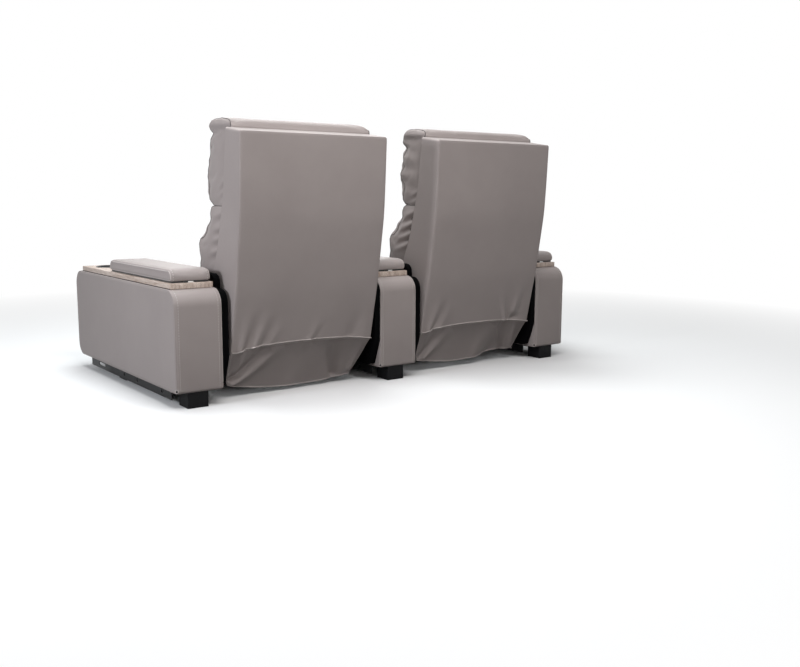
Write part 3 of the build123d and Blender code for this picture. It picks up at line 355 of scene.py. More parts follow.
def cut_planes(piece, axis, places, **clear):
    """Cuts a piece by planes across an axis, which leaves edge loops on it."""
    normal = Vector((0, 0, 0))
    normal[axis] = 1
    for place in places:
        edit_all(piece, bpy.ops.mesh.bisect, plane_co=normal * place, plane_no=normal, **clear)


def near(value, target, slack=1e-5):
    return abs(value - target) < slack


def bevel_corner(piece, y, z, radius, segments):
    """Rounds the edge that runs along the row through (y, z)."""
    pick_edges(piece, lambda a, b: all(near(p.y, y) and near(p.z, z) for p in (a, b)))
    bevel_picked(radius, segments)


def bevel_sides(piece, low_x, high_x, radius, segments):
    """Rounds the outline of both side panels."""
    pick_edges(piece, lambda a, b: near(a.x, b.x) and (near(a.x, low_x) or near(a.x, high_x)))
    bevel_picked(radius, segments)


def flatten_sides(piece, low_x, high_x, margin):
    """Sets both flat side panels off by a narrow rim, so that they shade flat."""
    def is_panel(face):
        panel_x = low_x if face.normal.x < 0 else high_x
        return abs(face.normal.x) > 0.999 and near(face.center.x, panel_x)

    pick(piece, "FACE", is_panel)
    bpy.ops.mesh.inset(thickness=margin)
    object_mode()


def apply_modifier(piece, kind, **settings):
    take(piece)
    modifier = piece.modifiers.new(kind.title(), kind)
    for key, value in settings.items():
        setattr(modifier, key, value)
    bpy.ops.object.modifier_apply(modifier=modifier.name)


def cut_away(piece, cutter):
    apply_modifier(piece, "BOOLEAN", operation="DIFFERENCE", solver="EXACT", object=cutter)
    bpy.data.objects.remove(cutter)


def add_drum(name, centre, radius, height, segments=64):
    return add_shape(name, bpy.ops.mesh.primitive_cylinder_add, vertices=segments, radius=radius,
                     depth=height, location=centre)


def smooth(piece, degrees):
    take(piece)
    bpy.ops.object.shade_smooth_by_angle(angle=math.radians(degrees))


def paint(piece, material):
    piece.data.materials.clear()
    piece.data.materials.append(material)


def join_pieces(name, pieces):
    """One piece from several of one finish."""
    clear_selection()
    for piece in pieces:
        piece.select_set(True)
    bpy.context.view_layer.objects.active = pieces[0]
    bpy.ops.object.join()
    pieces[0].name = name
    return pieces[0]


def line_from(points):
    """A guide line through points."""
    mesh = bpy.data.meshes.new("guide")
    edges = [(i, i + 1) for i in range(len(points) - 1)]
    mesh.from_pydata([tuple(p) for p in points], edges, [])
    guide = bpy.data.objects.new("guide", mesh)
    bpy.context.scene.collection.objects.link(guide)
    return guide


def loop_of(piece, test):
    """A guide line copied from the picked edges of a piece."""
    pick_edges(piece, test)
    before = set(bpy.context.scene.objects)
    bpy.ops.mesh.duplicate()
    bpy.ops.mesh.separate(type="SELECTED")
    object_mode()
    return next(o for o in bpy.context.scene.objects if o not in before)


def to_curve(guide):
    take(guide)
    bpy.ops.object.convert(target="CURVE")
    return bpy.context.object


def welt_along(guide, name, radius, material):
    """Piping: a round cord covered in leather along a guide line."""
    cord = to_curve(guide)
    cord.name = name
    cord.data.bevel_depth = radius
    cord.data.bevel_resolution = 2
    bpy.ops.object.convert(target="MESH")
    cord = bpy.context.object
    paint(cord, material)
    bpy.ops.object.shade_smooth()
    return cord


def stitches_along(guide, name):
    """A row of thread stitches along a guide line."""
    path = to_curve(guide)
    row = add_shape(name, bpy.ops.mesh.primitive_uv_sphere_add, segments=6, ring_count=4, radius=0.5,
                    location=(STITCH_PITCH / 2, 0, 0), rotation=(0, math.radians(90), 0))
    row.scale = (STITCH_LENGTH, STITCH_THICK, STITCH_THICK)
    settle()
    apply_modifier(row, "ARRAY", fit_type="FIT_CURVE", curve=path, use_relative_offset=False,
                   use_constant_offset=True, constant_offset_displace=(STITCH_PITCH, 0, 0))
    apply_modifier(row, "CURVE", object=path, deform_axis="POS_X")
    bpy.data.objects.remove(path)
    paint(row, thread)
    bpy.ops.object.shade_smooth()
    return row


WELT_FINISH = {"near": piping_leather, "far": leather}
ARM_WELT_INSET = ARM_EDGE * (1 - math.cos(math.radians(45)))
PANEL_RIM = 0.002
RAIL_OPENING = {"half": 0.07, "inset": 0.019}
CUT = 0.01  # how far a cutter stands past the wall that it opens


def bin_cutter(arm, low_z, high_z):
    """A block that opens a wall over the arm's storage bin."""
    x, half = ARM_X[arm], BIN_BOX["half"]
    return add_block("bin_cut", (x - half, ARM_REAR_Y - BIN_BOX["front"], low_z - CUT),
                     (x + half, ARM_REAR_Y - BIN_BOX["rear"], high_z + CUT))


def cup_cutter(arm, z, height):
    return add_drum("cup_cut", (ARM_X[arm], ARM_REAR_Y - CUP_FORWARD, z), CUP_HOLE, height)


def arm_cover(arm):
    low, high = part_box(f"{arm}_arm_cover")
    cover = add_block(f"{arm}_arm_upholstery", low, high)
    bevel_corner(cover, high.y, high.z, ARM_TOP_RADIUS, 14)
    bevel_corner(cover, low.y, high.z, ARM_TOP_RADIUS, 14)
    bevel_corner(cover, low.y, low.z, ARM_TOE_RADIUS, 12)
    bevel_corner(cover, high.y, low.z, ARM_HEEL_RADIUS, 4)
    bevel_sides(cover, low.x, high.x, ARM_EDGE, 4)
    flatten_sides(cover, low.x, high.x, PANEL_RIM)
    trims = []
    for side, edge_x, inward in (("near", low.x, 1), ("far", high.x, -1)):
        stitch_x = edge_x + inward * ARM_STITCH_INSET
        cut_planes(cover, 0, [stitch_x])
        welt_x = edge_x + inward * ARM_WELT_INSET
        guide = loop_of(cover, lambda a, b: near(a.x, welt_x, 2e-4) and near(b.x, welt_x, 2e-4))
        trims.append(welt_along(guide, f"{arm}_arm_welt_{side}", WELT_RADIUS, WELT_FINISH[side]))
        guide = loop_of(cover, lambda a, b: near(a.x, stitch_x) and near(b.x, stitch_x))
        trims.append(stitches_along(guide, f"{arm}_arm_stitches_{side}"))
    apply_modifier(cover, "SOLIDIFY", thickness=ARM_SKIN, offset=-1)
    cut_away(cover, bin_cutter(arm, high.z, high.z))
    cut_away(cover, cup_cutter(arm, high.z, 3 * CUT))
    rail_low, rail_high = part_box("arm_rails")
    x, half, inset = ARM_X[arm], RAIL_OPENING["half"], RAIL_OPENING["inset"]
    cut_away(cover, add_block("rail_cut", (x - half, rail_low.y + inset, low.z - CUT),
                              (x + half, rail_high.y - inset, low.z + CUT)))
    smooth(cover, 35)
    paint(cover, leather)
    return cover, trims


EYELET = {"rise": 0.011, "radius": 0.0052, "ring": 0.0014, "proud": 0.0005, "depth": 0.0018}


def corner_eyelet(arm):
    """The gathered stitch hole at the lower rear corner of the arm's far side, with a black disc in the
    ring as painted shade inside the hole.
    """
    low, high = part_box(f"{arm}_arm_cover")
    inset, radius = ARM_WELT_INSET - EYELET["proud"], EYELET["radius"]
    spot = {"location": (high.x - inset, high.y - inset, low.z + EYELET["rise"]),
            "rotation": (math.radians(90), 0, math.radians(-45))}
    ring = add_shape(f"{arm}_arm_eyelet", bpy.ops.mesh.primitive_torus_add, major_segments=20,
                     minor_segments=8, major_radius=radius, minor_radius=EYELET["ring"], **spot)
    bpy.ops.object.shade_smooth()
    paint(ring, piping_leather)
    # Painted shade: a black disc stands for the dark inside of the hole.
    hole = add_shape(f"{arm}_arm_eyelet_hole_shade", bpy.ops.mesh.primitive_cylinder_add, vertices=20,
                     radius=radius, depth=EYELET["depth"], **spot)
    paint(hole, black_paint)
    return [ring, hole]


for arm in ARMS:
    cover, trims = arm_cover(arm)
    trims += corner_eyelet(arm)
    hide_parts(f"{arm}_arm_cover")
    for piece in (cover, *trims):
        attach(piece, "frame")


# ---- Oak boards -----------------------------------------------------------
# A washed oak board lies on each arm, 20 mm thick with eased edges, cut out over
# the storage bin and the cup holder.  Its grain runs from the front to the back.
BOARD_EASE = 0.0015
BOARD_CORNER = 0.004
BUTTON_POCKET = {"radius": 0.011, "depth": 0.014}
# Painted shadow: a black strip under each long edge of the board stands in for the shaded gap between board
# and leather.
SHADOW_STRIP = {"width": 0.006, "proud": 0.0006, "height": 0.0022, "sunk": 0.001, "short": 0.003}
OAK_TONES = [(0.30, (0.31, 0.235, 0.19, 1)), (0.45, (0.46, 0.37, 0.315, 1)),
             (0.58, (0.57, 0.485, 0.43, 1)), (0.74, (0.67, 0.59, 0.535, 1))]
PORE_TONES = [(0.36, (0.62, 0.55, 0.5, 1)), (0.52, (1, 1, 1, 1))]


def oak_finish():
    material, tree, shader = new_material("washed_oak")
    streaks = add_noise(tree, place_pattern(tree, (26, 1.5, 9)), 3.2, 6.0, 0.62)
    pores = add_noise(tree, place_pattern(tree, (230, 9, 120)), 2.4, 3.0, 0.6)
    colour = add_mix(tree, 0.8, add_ramp(tree, streaks, OAK_TONES), add_ramp(tree, pores, PORE_TONES),
                     blend_type="MULTIPLY")
    set_inputs(tree, shader, {"Base Color": colour, "Roughness": add_range(tree, streaks, 0.44, 0.6),
                              "Normal": add_bump(tree, pores, 0.35, 0.0005)})
    return material


oak = oak_finish()
BUTTONS = {"middle": ("left_button_open", "left_button_close"),
           "right": ("right_button_open", "right_button_close")}


def oak_board(arm):
    low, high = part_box(f"{arm}_arm_board")
    board = add_block(f"{arm}_oak_board", low, high)
    pick_edges(board, lambda a, b: near(a.x, b.x) and near(a.y, b.y))
    bevel_picked(BOARD_CORNER, 4)
    pick_edges(board, lambda a, b: near(a.z, b.z) and (near(a.z, low.z) or near(a.z, high.z)))
    bevel_picked(BOARD_EASE, 2)
    cut_away(board, bin_cutter(arm, low.z, high.z))
    cut_away(board, cup_cutter(arm, low.z, 9 * CUT))
    for button in BUTTONS.get(arm, ()):
        middle = sum(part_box(button), Vector()) / 2
        pocket = (middle.x, middle.y, high.z)
        cut_away(board, add_drum("pocket", pocket, BUTTON_POCKET["radius"], 2 * BUTTON_POCKET["depth"], 32))
    smooth(board, 30)
    paint(board, oak)
    return board


def shadow_gap_strips(arm):
    """A black strip under the board's long edges, a painted shadow of the gap there, which shows as a thin
    dark line.
    """
    low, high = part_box(f"{arm}_arm_board")
    strips = []
    for edge, outward in ((low.x, -1), (high.x, 1)):
        inner, outer = edge - outward * SHADOW_STRIP["width"], edge + outward * SHADOW_STRIP["proud"]
        strips.append(add_block("strip", (min(inner, outer), low.y + SHADOW_STRIP["short"], low.z - SHADOW_STRIP["sunk"]),
                                (max(inner, outer), high.y - SHADOW_STRIP["short"], low.z + SHADOW_STRIP["height"])))
    shadow_strip = join_pieces(f"{arm}_board_shadow_strip", strips)
    paint(shadow_strip, black_paint)
    return shadow_strip


# Each arm also gets its painted shadow strips under the board.
for arm in ARMS:
    board = oak_board(arm)
    shadow_strip = shadow_gap_strips(arm)
    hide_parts(f"{arm}_arm_board")
    for piece in (board, shadow_strip):
        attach(piece, "frame")


# ---- Cup holders, lid boards and controls ---------------------------------
# Black moulded cups with a rolled rim sit in the boards.  The lid boards under the
# pads are moulded too.  Two arms carry a gloss panel with two round push buttons.
moulded_black = two_tone("moulded_black", (0.012, 0.012, 0.013, 1), (0.022, 0.022, 0.024, 1), 60,
                         (0.3, 0.42), (0.2, 0.0002))
gloss_black = two_tone("gloss_black", (0.008, 0.008, 0.010, 1), (0.014, 0.014, 0.016, 1), 25,
                       (0.1, 0.2), (0.05, 0.0001))
button_grey = two_tone("button_grey", (0.30, 0.30, 0.31, 1), (0.37, 0.37, 0.38, 1), 90,
                       (0.35, 0.5), (0.2, 0.0001))
case_black = two_tone("supply_case", (0.016, 0.016, 0.018, 1), (0.03, 0.03, 0.033, 1), 80,
                      (0.5, 0.65), (0.4, 0.0003))
for arm in ARMS:
    dress(f"{arm}_cup_holder", moulded_black)
    dress(f"{arm}_lid_board", moulded_black)
dress("control_panels", gloss_black)
for seat in SEATS:
    dress(f"{seat}_button_open", button_grey)
    dress(f"{seat}_button_close", button_grey)
dress("power_supply", case_black)


# ---- Arm pads -------------------------------------------------------------
# The lid of each bin is a leather pad over foam: two narrow side panels and one
# crowned strip over the top and the ends, welted and stitched like the arms.
PAD_VOXEL = 0.005
PAD_PRESSURE = 3.0
PAD_TOP_RADIUS = 0.028
PAD_FOOT_RADIUS = 0.004
PAD_EDGE = 0.008
PAD_STITCH_INSET = 0.0115
LEATHER_CLOTH = {"quality": 5, "mass": 0.35, "tension_stiffness": 12, "compression_stiffness": 12,
                 "shear_stiffness": 6, "bending_stiffness": 0.8, "use_pressure": True,
                 "vertex_group_mass": "held"}


def coords_of(piece):
    flat = np.empty(3 * len(piece.data.vertices), np.float64)
    piece.data.vertices.foreach_get("co", flat)
    return flat.reshape(-1, 3)


def normals_of(piece):
    flat = np.empty(3 * len(piece.data.vertices), np.float32)
    piece.data.vertices.foreach_get("normal", flat)
    return flat.reshape(-1, 3).astype(float)


def move_to(piece, coords):
    piece.data.vertices.foreach_set("co", coords.astype(np.float32).ravel())
    piece.data.update()


def fill_box(coords, low, high, held_high=(False, False, False)):
    """Stretches points so that they fill a box; a held axis keeps its upper end."""
    for axis, keep in enumerate(held_high):
        least, most = coords[:, axis].min(), coords[:, axis].max()
        goal = most if keep else high[axis]
        coords[:, axis] = low[axis] + (coords[:, axis] - least) * (goal - low[axis]) / (most - least)
    return coords


def puff(piece, voxel, pressure, cap, shrink, held, share, rounds=2, frames=20):
    """Foam under leather: the solid is remeshed, let in a little and blown up as cloth.
    Points where held(coords) is true stay put, no point moves further than cap, and the
    cover takes a share of the swelling."""
    apply_modifier(piece, "REMESH", mode="VOXEL", voxel_size=voxel)
    apply_modifier(piece, "SMOOTH", factor=0.5, iterations=rounds)
    solid = coords_of(piece)
    fixed = held(solid)
    start = solid - normals_of(piece) * shrink * (~fixed)[:, None]
    move_to(piece, start)
    group = piece.vertex_groups.new(name="held")
    group.add([int(i) for i in np.flatnonzero(fixed)], 1.0, "REPLACE")
    take(piece)
    cloth = piece.modifiers.new("Cloth", "CLOTH")
    for key, value in LEATHER_CLOTH.items():
        setattr(cloth.settings, key, value)
    cloth.settings.uniform_pressure_force = pressure
    cloth.settings.effector_weights.gravity = 0
    cloth.point_cache.frame_end = frames
    for number in range(1, frames + 1):
        bpy.context.scene.frame_set(number)
    bpy.ops.object.modifier_apply(modifier=cloth.name)
    bpy.context.scene.frame_set(1)
    step = coords_of(piece) - start
    reach = np.linalg.norm(step, axis=1, keepdims=True)
    swollen = start + step * np.minimum(1.0, cap / np.maximum(reach, 1e-9))
    move_to(piece, solid + (swollen - solid) * share)
    piece.vertex_groups.clear()


def refine(piece):
    apply_modifier(piece, "SUBSURF", levels=1, render_levels=1)
    take(piece)
    bpy.ops.object.shade_smooth()


def copy_along(piece, name, shift):
    """A copy of a piece with its own mesh, moved along the row."""
    twin = bpy.data.objects.new(name, piece.data.copy())
    bpy.context.scene.collection.objects.link(twin)
    move_to(twin, coords_of(twin) + (shift, 0, 0))
    return twin


def slice_of(piece, name, place):
    """The line where a plane across the row cuts a piece."""
    guide = copy_along(piece, name, 0)
    cut_planes(guide, 0, [place], clear_inner=True, clear_outer=True)
    return guide


def end_welts(piece, name, insets, stitch_inset=None, finish=None):
    """Piping, and where wanted a stitch row, round both ends of a soft piece."""
    low, high = coords_of(piece)[:, 0].min(), coords_of(piece)[:, 0].max()
    trims = []
    for side, edge, inward in (("near", low, 1), ("far", high, -1)):
        guide = slice_of(piece, "guide", edge + inward * insets)
        trims.append(welt_along(guide, f"{name}_welt_{side}", WELT_RADIUS, finish or piping_leather))
        if stitch_inset is not None:
            guide = slice_of(piece, "guide", edge + inward * stitch_inset)
            trims.append(stitches_along(guide, f"{name}_stitches_{side}"))
    return trims


def pad_foam():
    """The settled foam of one pad, on the middle arm."""
    low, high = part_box("middle_arm_pad")
    foam = add_block("pad_foam", low, high)
    bevel_corner(foam, high.y, high.z, PAD_TOP_RADIUS, 8)
    bevel_corner(foam, low.y, high.z, PAD_TOP_RADIUS, 8)
    bevel_corner(foam, high.y, low.z, PAD_FOOT_RADIUS, 2)
    bevel_corner(foam, low.y, low.z, PAD_FOOT_RADIUS, 2)
    bevel_sides(foam, low.x, high.x, PAD_EDGE, 3)
    puff(foam, PAD_VOXEL, PAD_PRESSURE, 0.006, 0.002, lambda co: co[:, 2] < low.z + 0.004, 0.35)
    move_to(foam, fill_box(coords_of(foam), low, high))
    return foam


foam = pad_foam()
for arm in ARMS:
    pad = copy_along(foam, f"{arm}_lid_pad", ARM_X[arm] - ARM_X["middle"])
    refine(pad)
    paint(pad, leather)
    trims = end_welts(pad, f"{arm}_pad", PAD_EDGE * 0.4, PAD_STITCH_INSET)
    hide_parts(f"{arm}_arm_pad")
    for piece in (pad, *trims):
        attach(piece, f"{arm}_lid")
bpy.data.objects.remove(foam)


# ---- Back shells ----------------------------------------------------------
# The rear of each back is a board shell in leather: one panel, two side bands and
# a folded top edge.  Near the lower seam the leather is pulled into soft puckers.
SHELL_HALF = 0.305
SHELL_WALL = 0.012
SHELL_EDGE = 0.008
SHELL_FOOT = 0.177
SHELL_REAR_TOP = 0.957
SHELL_CREST = 0.973
SHELL_BOX_DEPTH = 0.2  # the plain box that is bent into a shell
SHELL_BOX_HEIGHT = 0.8
SHELL_WELT = 0.0011
WELT_LIFT = 0.0002  # how far the shell's welts stand off the leather
WELT_SETBACK = 0.0025  # from the box corners to where the shell's welts lie
REAR_LINE = [(0.177, 0.016), (0.400, -0.035), (0.663, -0.078), (0.778, -0.086), (0.957, -0.095)]
BAND_LINE = [(0.177, 0.150), (0.352, 0.176), (0.474, 0.137), (0.560, 0.097), (0.753, 0.044), (0.973, 0.015)]
SEAM_RISE = 0.020  # how far the lower seam arches up in the middle
SEAM_DIP = 0.010  # how far it dips at the sitters' left end
SEAT_X = {seat: sum(corner.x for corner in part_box(f"{seat}_back_shell")) / 2 for seat in SEATS}
# Puckers in mm: across and up where each starts and where it ends, width and height.
SHELL_PUCKERS = {
    "left": [(266, 184, 236, 350, 11, 7.6), (244, 184, 196, 345, 9.5, -9.6),
             (214, 190, 150, 350, 11, 8.2), (182, 192, 118, 330, 10, -6.4),
             (150, 196, 90, 300, 11, 3.8), (-20, 200, -66, 300, 11, 4.6),
             (-44, 200, -86, 280, 10, -3.8), (-205, 205, -248, 330, 20, -6.6),
             (-270, 185, -262, 360, 13, 3)],
    "right": [(264, 184, 218, 340, 11, 7), (240, 186, 184, 320, 10, -7.6),
              (204, 190, 146, 310, 11, 4.4), (-160, 200, -104, 360, 8.5, 10.5),
              (-182, 196, -140, 310, 7.5, -11), (-206, 236, -238, 380, 13, 7.2),
              (-205, 204, -275, 216, 9, -10.5), (-246, 240, -262, 360, 12, -4)],
}


def rise(value, start, span):
    """0 up to the start, then a straight climb to 1 over the span."""
    return np.clip((value - start) / span, 0, 1)


def fall(value, end, span):
    """1, then a straight descent over the span to 0 at the end."""
    return np.clip((end - value) / span, 0, 1)


def line_at(line, z, ease=0.035):
    """Forward distance of a bent profile at height z, with its bends eased."""
    heights, forward = np.array(line).T
    shifts = np.linspace(-ease, ease, 9)
    samples = [np.interp(np.clip(z + s, heights[0], heights[-1]), heights, forward) for s in shifts]
    inner = np.mean(samples, axis=0)
    plain = np.interp(z, heights, forward)
    return plain + (inner - plain) * rise(np.minimum(z - heights[0], heights[-1] - z), 0, ease)


def seam_lift(u):
    """How far the lower seam stands above its corners at u."""
    arch = SEAM_RISE * (1 - np.abs(u / SHELL_HALF) ** 2.6)
    return arch - SEAM_DIP * rise(u, 0.2, 0.105) ** 2 * (1 - rise(u, 0.285, 0.02))


def crease(u, z, fold, fade=1.3):
    """A straight soft fold on a panel that widens and fades towards its end."""
    u0, z0, u1, z1, width, height = (value / 1000 for value in fold)
    length2 = (u1 - u0) ** 2 + (z1 - z0) ** 2
    t = ((u - u0) * (u1 - u0) + (z - z0) * (z1 - z0)) / length2
    inside = np.clip(t, 0, 1)
    gap2 = (u - u0 - inside * (u1 - u0)) ** 2 + (z - z0 - inside * (z1 - z0)) ** 2
    spread = width * (1 + 1.2 * inside)
    return height * np.exp(-gap2 / spread**2) * (1 - inside) ** fade


def shell_swell(seat, u, z):
    """How far the puckers lift the rear panel."""
    return sum(crease(u, z, fold) for fold in SHELL_PUCKERS[seat]) * fall(np.abs(u), SHELL_HALF, 0.02)


def shell_block(seat):
    """A box without front and foot, rounded and cut fine, still in box shape."""
    x = SEAT_X[seat]
    shell = add_block(f"{seat}_shell_upholstery", (x - SHELL_HALF, 0, 0),
                      (x + SHELL_HALF, SHELL_BOX_DEPTH, SHELL_BOX_HEIGHT))
    pick(shell, "FACE", lambda face: face.normal.y < -0.5 or face.normal.z < -0.5)
    bpy.ops.mesh.delete(type="FACE")
    object_mode()
    closed_edges = [edge.key for edge in shell.data.edges
                    if sum(edge.key in face.edge_keys for face in shell.data.polygons) == 2]
    pick(shell, "EDGE", lambda edge: edge.key in closed_edges)
    bevel_picked(SHELL_EDGE, 4)
    cut_planes(shell, 0, [x + u for u in np.arange(-0.288, 0.289, 0.006)])
    cut_planes(shell, 2, [*np.arange(0.005, 0.20, 0.005), *np.arange(0.2, 0.79, 0.012)])
    cut_planes(shell, 1, np.arange(0.01, 0.19, 0.02))
    return shell


def back_shell(seat):
    x = SEAT_X[seat]
    shell = shell_block(seat)
    co = coords_of(shell)
    u = co[:, 0] - x
    depth = 1 - co[:, 1] / SHELL_BOX_DEPTH
    share = co[:, 2] / SHELL_BOX_HEIGHT
    foot = SHELL_FOOT + seam_lift(u) * (1 - np.clip(depth * 6, 0, 1))
    top = SHELL_REAR_TOP + (SHELL_CREST - SHELL_REAR_TOP) * depth
    z = foot + (top - foot) * share
    forward = line_at(REAR_LINE, z) * (1 - depth) + line_at(BAND_LINE, z) * depth
    swell = shell_swell(seat, u, z) * np.clip(1 - depth * 30, 0, 1)
    co[:, 1] = ARM_REAR_Y - forward + swell
    co[:, 2] = z
    move_to(shell, co)
    apply_modifier(shell, "SOLIDIFY", thickness=SHELL_WALL, offset=-1)
    smooth(shell, 60)
    paint(shell, leather)
    return shell


def seat_on(guide, piece):
    """Lays a guide line on a piece's surface."""
    apply_modifier(guide, "SHRINKWRAP", target=piece, wrap_method="NEAREST_SURFACEPOINT", offset=WELT_LIFT)
    return guide


def edge_guide(seat, side):
    """Guide line up the corner between the rear panel and a side band."""
    x = SEAT_X[seat] + side * (SHELL_HALF - WELT_SETBACK)
    heights = np.linspace(SHELL_FOOT, SHELL_REAR_TOP - 0.004, 90)
    forward = line_at(REAR_LINE, heights) + WELT_SETBACK
    return line_from([(x, ARM_REAR_Y - d, z) for d, z in zip(forward, heights)])


def top_guide(seat):
    """Guide line along the rear panel's top edge."""
    xs = SEAT_X[seat] + np.linspace(-SHELL_HALF + 0.004, SHELL_HALF - 0.004, 60)
    y, z = ARM_REAR_Y - (REAR_LINE[-1][1] + WELT_SETBACK), SHELL_REAR_TOP - WELT_SETBACK
    return line_from([(x, y, z) for x in xs])


for seat in SEATS:
    shell = back_shell(seat)
    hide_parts(f"{seat}_back_shell")
    trims = []
    for side in (-1, 1):
        guide = seat_on(edge_guide(seat, side), shell)
        name = f"{seat}_shell_welt_{'near' if side < 0 else 'far'}"
        trims.append(welt_along(guide, name, SHELL_WELT, leather))
    guide = seat_on(top_guide(seat), shell)
    trims.append(welt_along(guide, f"{seat}_shell_top_welt", SHELL_WELT, leather))
    for piece in (shell, *trims):
        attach(piece, f"{seat}_back")


# ---- Back skirts ----------------------------------------------------------
# A flap of unlined leather hangs from the lower seam of each shell to just above
# the floor.  It is welted along the seam, hemmed with piping, and falls in folds.
SKIRT_THICK = 0.0024
OUTWARD = (0, SKIRT_THICK * 0.7, 0)  # from the leather's middle to its trims
SKIRT_DROP = 0.16  # the drop that the table of folds is laid out on
SKIRT_FORWARD = 0.012  # its top edge, forward of the arms' rear ends
SKIRT_LAP = 0.004  # how far it reaches up over the shell's seam
STITCH_ROWS = {"seam": 0.045, "ends": 0.985, "sides": 0.972}  # in shares of drop and half width
# Hem corners on the sitters' left (+X) and right: reach across, height, forward.
HEM_CORNERS = {"left": ((0.290, 0.049, 0.090), (0.257, 0.030, 0.105)),
               "right": ((0.277, 0.051, 0.082), (0.284, 0.051, 0.092))}
HEM_LOW = {"left": 0.0165, "right": 0.028}
HEM_LOWEST_AT = {"left": -0.05, "right": 0.07}
HEM_SHAPE = {"left": 2.6, "right": 1.6}  # how flat the hem's lowest stretch is
HEM_ARCH = {"left": 0.0, "right": 0.010}  # how far the hem arches up at the sitters' right
HEM_ARCH_AT = (-0.62, 0.24)  # where that arch stands and how wide, in shares of the half width
# Folds in mm: across and down the skirt where each starts and ends, width and height.
SKIRT_FOLDS = {
    "left": [(272, 155.2, 88, 6.4, 12, 16), (284, 131.2, 146, 8, 10, -16.5), (262, 99.2, 236, 8, 7, 9),
             (286, 96, 264, 9.6, 7, -6.5), (-178, 144, -150, 9.6, 19, -27),
             (-248, 136, -284, 12.8, 11, 8.5), (30, 160, -40, 16, 30, 6)],
    "right": [(246, 147.2, 132, 12.8, 12, 11), (262, 136, 190, 9.6, 10, -11.5),
              (-40, 152, -92, 16, 24, 8), (-216, 156.8, -168, 8, 11, -22.5),
              (-262, 147.2, -238, 9.6, 12, 12), (-120, 168, -190, 118.4, 26, -19.5)],
}


def bell(value, middle, width):
    return np.exp(-((value - middle) / width) ** 2)


def skirt_coords(seat, s, t):
    """Place on the skirt: s runs -1..1 across, t runs 0..1 from seam to hem."""
    plus, minus = HEM_CORNERS[seat]
    reach, end_z, end_forward = (b + (a - b) * (s + 1) / 2 for a, b in zip(plus, minus))
    u = s * (SHELL_HALF - 0.001 + (reach - SHELL_HALF) * t**1.8)
    lowest = HEM_LOWEST_AT[seat] / SHELL_HALF
    span = np.where(s > lowest, 1 - lowest, 1 + lowest)
    side = np.abs((s - lowest) / span) ** HEM_SHAPE[seat]
    hem_z = HEM_LOW[seat] + (end_z - HEM_LOW[seat]) * side + HEM_ARCH[seat] * bell(s, *HEM_ARCH_AT)
    top = SHELL_FOOT + seam_lift(s * SHELL_HALF) + SKIRT_LAP
    z = top + (hem_z - top) * t
    forward = SKIRT_FORWARD + (end_forward - SKIRT_FORWARD) * t**0.68
    folds = sum(crease(u, SKIRT_DROP * t, fold, 0.3) for fold in SKIRT_FOLDS[seat])
    hold = rise(t, 0, 0.10) ** 0.8 * np.clip((1 - np.abs(s)) / 0.04, 0.25, 1)
    upper = shell_swell(seat, u, top) * fall(t, 0.4, 0.4) ** 1.5
    y = ARM_REAR_Y - forward + folds * hold + upper
    return np.stack([SEAT_X[seat] + u, y, z], axis=-1)


def skirt_line(seat, s, t):
    """A guide line just outside the skirt; s or t may be one value for all of it."""
    s, t = np.broadcast_arrays(s, t)
    return line_from(skirt_coords(seat, s, t) + OUTWARD)


def back_skirt(seat):
    skirt = add_shape(f"{seat}_skirt_leather", bpy.ops.mesh.primitive_grid_add, x_subdivisions=170,
                      y_subdivisions=48, size=2)
    co = coords_of(skirt)
    move_to(skirt, skirt_coords(seat, co[:, 0], (1 - co[:, 1]) / 2))
    area = sum(face.area for face in skirt.data.polygons)
    edit_all(skirt, bpy.ops.mesh.normals_make_consistent, inside=False)
    apply_modifier(skirt, "SOLIDIFY", thickness=SKIRT_THICK, offset=0)
    smooth(skirt, 60)
    paint(skirt, leather)
    return skirt, area


def loose_threads(name, place, seed):
    """A tuft of three cut thread ends at a seam's corner."""
    rng = np.random.default_rng(seed)
    strands = []
    for _ in range(3):
        lean = rng.uniform(-0.7, 0.7, 3) + (0, 0.8, -0.2)
        steps = np.linspace(0, rng.uniform(0.007, 0.012), 5)
        points = [Vector(place) + Vector(lean) * k + Vector((0, 0, -9 * k * k)) for k in steps]
        strands.append(welt_along(line_from(points), "strand", 0.0005, thread))
    return join_pieces(name, strands)


for seat in SEATS:
    skirt, area = back_skirt(seat)
    across = np.linspace(-1, 1, 160)
    down = np.linspace(0, 1, 50)
    trims = []
    for name, share, radius in (("hem", 1.0, 0.0021), ("seam", 0.0, 0.0020)):
        guide = skirt_line(seat, across, share)
        trims.append(welt_along(guide, f"{seat}_skirt_{name}", radius, piping_leather))
    row = skirt_line(seat, across * STITCH_ROWS["ends"], STITCH_ROWS["seam"])
    trims.append(stitches_along(row, f"{seat}_skirt_stitches"))
    for side, name in ((-1, "near"), (1, "far")):
        row = skirt_line(seat, side * STITCH_ROWS["sides"], down)
        trims.append(stitches_along(row, f"{seat}_skirt_side_{name}"))
    corners = skirt_coords(seat, np.array([0.995, -0.995]), np.array([0.03, 0.99])) + OUTWARD
    trims.append(loose_threads(f"{seat}_skirt_threads_top", corners[0], 2))
    trims.append(loose_threads(f"{seat}_skirt_threads_hem", corners[1], 6))
    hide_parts(f"{seat}_back_skirt")
    for piece in (skirt, *trims):
        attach(piece, f"{seat}_back")


